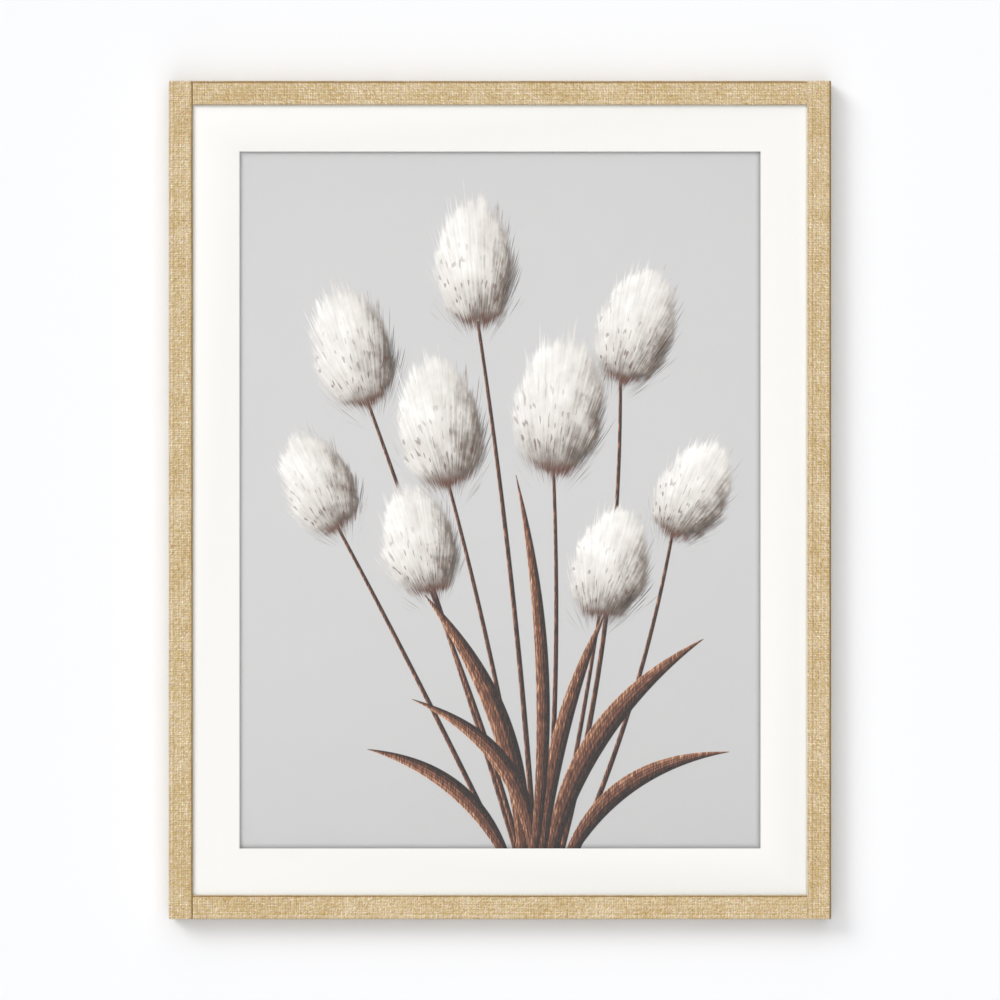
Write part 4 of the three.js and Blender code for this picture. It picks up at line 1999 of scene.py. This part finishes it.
@dataclass
class Fixings:
    """The steel points, the toothed hanger, its nails and the rubber bumpers.

    A ring of the nails' dome or of the bumpers' dish is how far it is set in, and how high it
    stands. The point's width is a share of the shank's.
    """

    effects: Effects
    point: MetalFinish = MetalFinish(
        "spring steel", roughness=0.42, colour=(0.42, 0.42, 0.41), dull=(0.24, 0.23, 0.22),
    )
    plate: MetalFinish = MetalFinish(
        "zinc-plated steel", roughness=0.36, colour=(0.66, 0.66, 0.63), dull=(0.47, 0.47, 0.45),
    )
    brass: MetalFinish = MetalFinish(
        "brass plate", roughness=0.30, colour=(0.72, 0.52, 0.22), dull=(0.46, 0.31, 0.12),
    )
    rubber: RubberFinish = RubberFinish("soft rubber")
    sheet_edge: float = 0.10 * MM
    head_sides: int = 40
    head_thick: float = 0.75 * MM
    shank: float = 0.75 * MM
    point_length: float = 1.5 * MM
    point_width: float = 0.04
    dome: tuple[tuple[float, float], ...] = (
        (0.35 * MM, 0.0), (0.5 * MM, 0.12 * MM), (0.5 * MM, 0.06 * MM),
    )
    head_rim: float = 0.12 * MM
    bumper_sides: int = 72
    dish: tuple[tuple[float, float], ...] = ((1.9 * MM, 0.0), (0.5 * MM, -0.2 * MM))
    bumper_rim: float = 0.55 * MM

    def build(self) -> None:
        """Dresses the points and the hanger, and turns the nails and bumpers."""
        steel = self.point.material(self.effects)
        for node in sorted(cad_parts):
            if node.startswith("point_"):
                finished(softened(node, self.sheet_edge), steel)
        plate = self.plate.material(self.effects)
        finished(softened("hanger_plate", self.sheet_edge), plate)
        brass = self.brass.material(self.effects)
        rubber = self.rubber.material(self.effects)
        for side in ("left", "right"):
            finished(self._nail(f"nail_{side}"), brass)
            finished(self._bumper(f"bumper_{side}"), rubber)

    def _nail(self, node: str) -> Piece:
        """A nail: a domed head, and a shank drawn from under it to a point.

        Args:
            node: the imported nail.

        Returns:
            The nail.
        """
        low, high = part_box(node)
        middle, head, thick = (low + high) / 2, (high.x - low.x) / 2, self.head_thick
        nail = self._disc(node, self.head_sides, head, thick, (middle.x, high.y - thick / 2, middle.z))
        picked(nail, lambda centre, normal: normal.y < -FACING)
        bpy.ops.object.mode_set(mode="EDIT")
        bpy.ops.mesh.inset(thickness=head - self.shank, depth=0.0)
        straight = high.y - thick - low.y - self.point_length
        for step, scale in ((straight, 1.0), (self.point_length, self.point_width)):
            bpy.ops.mesh.extrude_region_move(TRANSFORM_OT_translate={"value": (0.0, -step, 0.0)})
            bpy.ops.transform.resize(value=(scale, scale, scale))
        bpy.ops.object.mode_set(mode="OBJECT")
        self._ringed(nail, self.dome)
        self._lowered(nail, high.y)
        modified(nail, "BEVEL", width=self.head_rim, segments=3, limit_method="ANGLE",
                 angle_limit=math.radians(50.0))
        smoothed(nail)
        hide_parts(node)
        return nail

    @staticmethod
    def _disc(
        node: str, sides: int, radius: float, depth: float, middle: Sequence[float]
    ) -> Piece:
        """A round start for a turned piece, with its axis along Y.

        Args:
            node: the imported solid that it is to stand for.
            sides: how many sides it has.
            radius: half its width.
            depth: its length along Y.
            middle: the place of its middle.

        Returns:
            The disc.
        """
        return settled(started(
            f"{node}_finished", bpy.ops.mesh.primitive_cylinder_add, vertices=sides,
            radius=radius, depth=depth, location=middle, rotation=(-math.pi / 2, 0.0, 0.0),
        ))

    @staticmethod
    def _ringed(piece: Piece, rings: tuple[tuple[float, float], ...]) -> None:
        """Insets the face of a turned piece that looks along Y, ring by ring.

        Args:
            piece: the piece.
            rings: each ring's inset and depth.
        """
        picked(piece, lambda centre, normal: normal.y > FACING)
        bpy.ops.object.mode_set(mode="EDIT")
        for inset, depth in rings:
            bpy.ops.mesh.inset(thickness=inset, depth=depth)
        bpy.ops.object.mode_set(mode="OBJECT")

    @staticmethod
    def _lowered(piece: Piece, plane: float) -> None:
        """Moves a piece along Y until its highest point is on a plane.

        Args:
            piece: the piece.
            plane: the plane's Y.
        """
        top = max(vertex.co.y for vertex in piece.data.vertices)
        only(piece)
        bpy.ops.object.mode_set(mode="EDIT")
        bpy.ops.mesh.select_all(action="SELECT")
        bpy.ops.transform.translate(value=(0.0, plane - top, 0.0))
        bpy.ops.object.mode_set(mode="OBJECT")

    def _bumper(self, node: str) -> Piece:
        """A bumper: a disc with a rounded rim and a shallow dish in its face.

        Args:
            node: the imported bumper.

        Returns:
            The bumper.
        """
        low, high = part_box(node)
        middle, radius, height = (low + high) / 2, (high.x - low.x) / 2, high.y - low.y
        bumper = self._disc(node, self.bumper_sides, radius, height, middle)
        self._ringed(bumper, self.dish)
        modified(bumper, "BEVEL", width=self.bumper_rim, segments=5, limit_method="ANGLE",
                 angle_limit=math.radians(60.0))
        smoothed(bumper)
        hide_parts(node)
        return bumper


@dataclass
class Studio:
    """The wall and floor, the lights and the camera.

    Colours are scene-linear, the lens and the sensor are in millimetres, a light's spread is how
    wide it looks in degrees, and its from is the way to it.
    """

    wall_gap: float = 0.4 * MM
    wall_size: float = 9.0
    wall_colour: Colour = (0.885, 0.890, 0.905)
    floor_drop: float = 1.9
    floor_colour: Colour = (0.82, 0.81, 0.79)
    floor_roughness: float = 0.85
    lens: float = 200.0
    sensor: float = 36.0
    seen_width: float = 0.8648
    far_end: float = 60.0
    ambient: float = 1.215
    ambient_low: float = 0.054
    fading: tuple[float, float] = (0.428, 0.735)
    tallness: float = 0.40
    ambient_behind: float = 0.75
    behind_fading: float = 0.3
    key: float = 1.365
    key_from: tuple[float, float, float] = (-1.04, -1.0, 0.84)
    key_spread: float = 29.6
    rear: float = 0.9
    rear_from: tuple[float, float, float] = (0.7, 1.0, 0.5)
    rear_spread: float = 50.0

    def build(self) -> None:
        """Sets the stage."""
        self._backdrop()
        self._lights()
        self._camera()
        bpy.context.scene.view_settings.view_transform = "Standard"

    @staticmethod
    def _plane(name: str, size: float, location: tuple[float, float, float], tilt: float) -> Piece:
        """A flat square that belongs to the stage.

        Args:
            name: its name.
            size: its width.
            location: its middle.
            tilt: how far it is turned about X.

        Returns:
            The square.
        """
        plane = started(name, bpy.ops.mesh.primitive_plane_add, size=size, location=location,
                        rotation=(tilt, 0.0, 0.0))
        settled(plane)
        return plane

    def _backdrop(self) -> None:
        """The wall, which is seen only from the front, and the floor."""
        low, high = CAD_BOX
        middle = (low.z + high.z) / 2
        wall = self._plane("wall", self.wall_size, (0.0, high.y + self.wall_gap, middle), math.pi / 2)
        wall.data.materials.append(self._wall_paint())

        floor = self._plane("floor", self.wall_size, (0.0, 0.0, middle - self.floor_drop), 0.0)
        pale = bpy.data.materials.new("pale floor")
        pale.use_nodes = True
        shader = pale.node_tree.nodes["Principled BSDF"].inputs
        shader["Base Color"].default_value = (*self.floor_colour, 1.0)
        shader["Roughness"].default_value = self.floor_roughness
        floor.data.materials.append(pale)
        # The floor is far below a hung picture, so it is seen but sends it neither light nor shade.
        floor.visible_diffuse = False
        floor.visible_glossy = False
        floor.visible_shadow = False

    def _wall_paint(self) -> bpy.types.Material:
        """White paint that a view from behind sees through, and that lets light reach what it sees.

        Returns:
            The paint's material.
        """
        painted = bpy.data.materials.new("painted wall")
        painted.use_nodes = True
        painted.node_tree.nodes.clear()
        w = Wiring(painted.node_tree)
        matt = w.add("ShaderNodeBsdfDiffuse")
        matt.inputs["Color"].default_value = (*self.wall_colour, 1.0)
        clear = w.add("ShaderNodeBsdfTransparent")
        depth = w.add("ShaderNodeLightPath").outputs["Ray Depth"]
        first = w.math("COMPARE", depth, 1.0, 0.4)
        behind = w.add("ShaderNodeNewGeometry").outputs["Backfacing"]
        side = w.add("ShaderNodeMixShader")
        w.feed(side.inputs[0], w.math("MAXIMUM", first, behind))
        w.feed(side.inputs[1], matt.outputs[0])
        w.feed(side.inputs[2], clear.outputs[0])
        w.feed(w.add("ShaderNodeOutputMaterial").inputs["Surface"], side.outputs[0])
        return painted

    @staticmethod
    def _sun(name: str, strength: float, source: tuple[float, float, float], spread: float) -> None:
        """A wide soft light from one way.

        Args:
            name: the light's name.
            strength: its light on a surface that faces it.
            source: the way to it.
            spread: how wide it looks, in degrees.
        """
        bpy.ops.object.light_add(type="SUN")
        lamp = bpy.context.view_layer.objects.active
        lamp.name = name
        lamp.data.energy = strength
        lamp.data.angle = math.radians(spread)
        lamp.rotation_euler = Vector(source).to_track_quat("Z", "Y").to_euler()

    def _lights(self) -> None:
        """A sky that is brightest straight in front, a key from the upper left and a rear light."""
        world = bpy.data.worlds.new("soft studio")
        world.use_nodes = True
        w = Wiring(world.node_tree)
        sky = world.node_tree.nodes["Background"].inputs
        across, away, up = w.parts(w.add("ShaderNodeTexCoord").outputs["Generated"])
        tall = w.math("SUBTRACT", w.times(up, up), w.times(across, across))
        facing = w.math("MULTIPLY_ADD", tall, self.tallness, w.times(away, -1.0))
        front = w.spread(facing, *self.fading, (self.ambient_low, self.ambient), smooth=True)
        front = w.times(front, w.math("LESS_THAN", away, 0.0))
        behind = w.spread(away, 0.0, self.behind_fading, (0.0, self.ambient_behind), smooth=True)
        seen = w.add("ShaderNodeLightPath").outputs["Is Camera Ray"]
        sky["Color"].default_value = (1.0, 1.0, 1.0, 1.0)
        w.feed(sky["Strength"], w.between(seen, w.math("ADD", front, behind), self.ambient))
        bpy.context.scene.world = world
        self._sun("key", self.key, self.key_from, self.key_spread)
        self._sun("rear", self.rear, self.rear_from, self.rear_spread)

    def _camera(self) -> None:
        """A long lens straight in front, framed as the photograph is."""
        low, high = CAD_BOX
        middle = (low + high) / 2
        away = self.seen_width * self.lens / self.sensor
        bpy.ops.object.camera_add(
            location=(middle.x, low.y - away, middle.z), rotation=(math.pi / 2, 0.0, 0.0)
        )
        camera = bpy.context.view_layer.objects.active
        camera.data.lens = self.lens
        camera.data.sensor_width = self.sensor
        camera.data.clip_end = self.far_end
        bpy.context.scene.camera = camera


def main() -> None:
    """Sets the stage and builds the picture from its moulding to its fixings."""
    logging.basicConfig(level=logging.INFO, format="%(message)s")
    Studio().build()
    effects = Effects()
    Moulding(effects).build()
    Stack(effects).build()
    Fixings(effects).build()


if __name__ == "__main__":
    main()
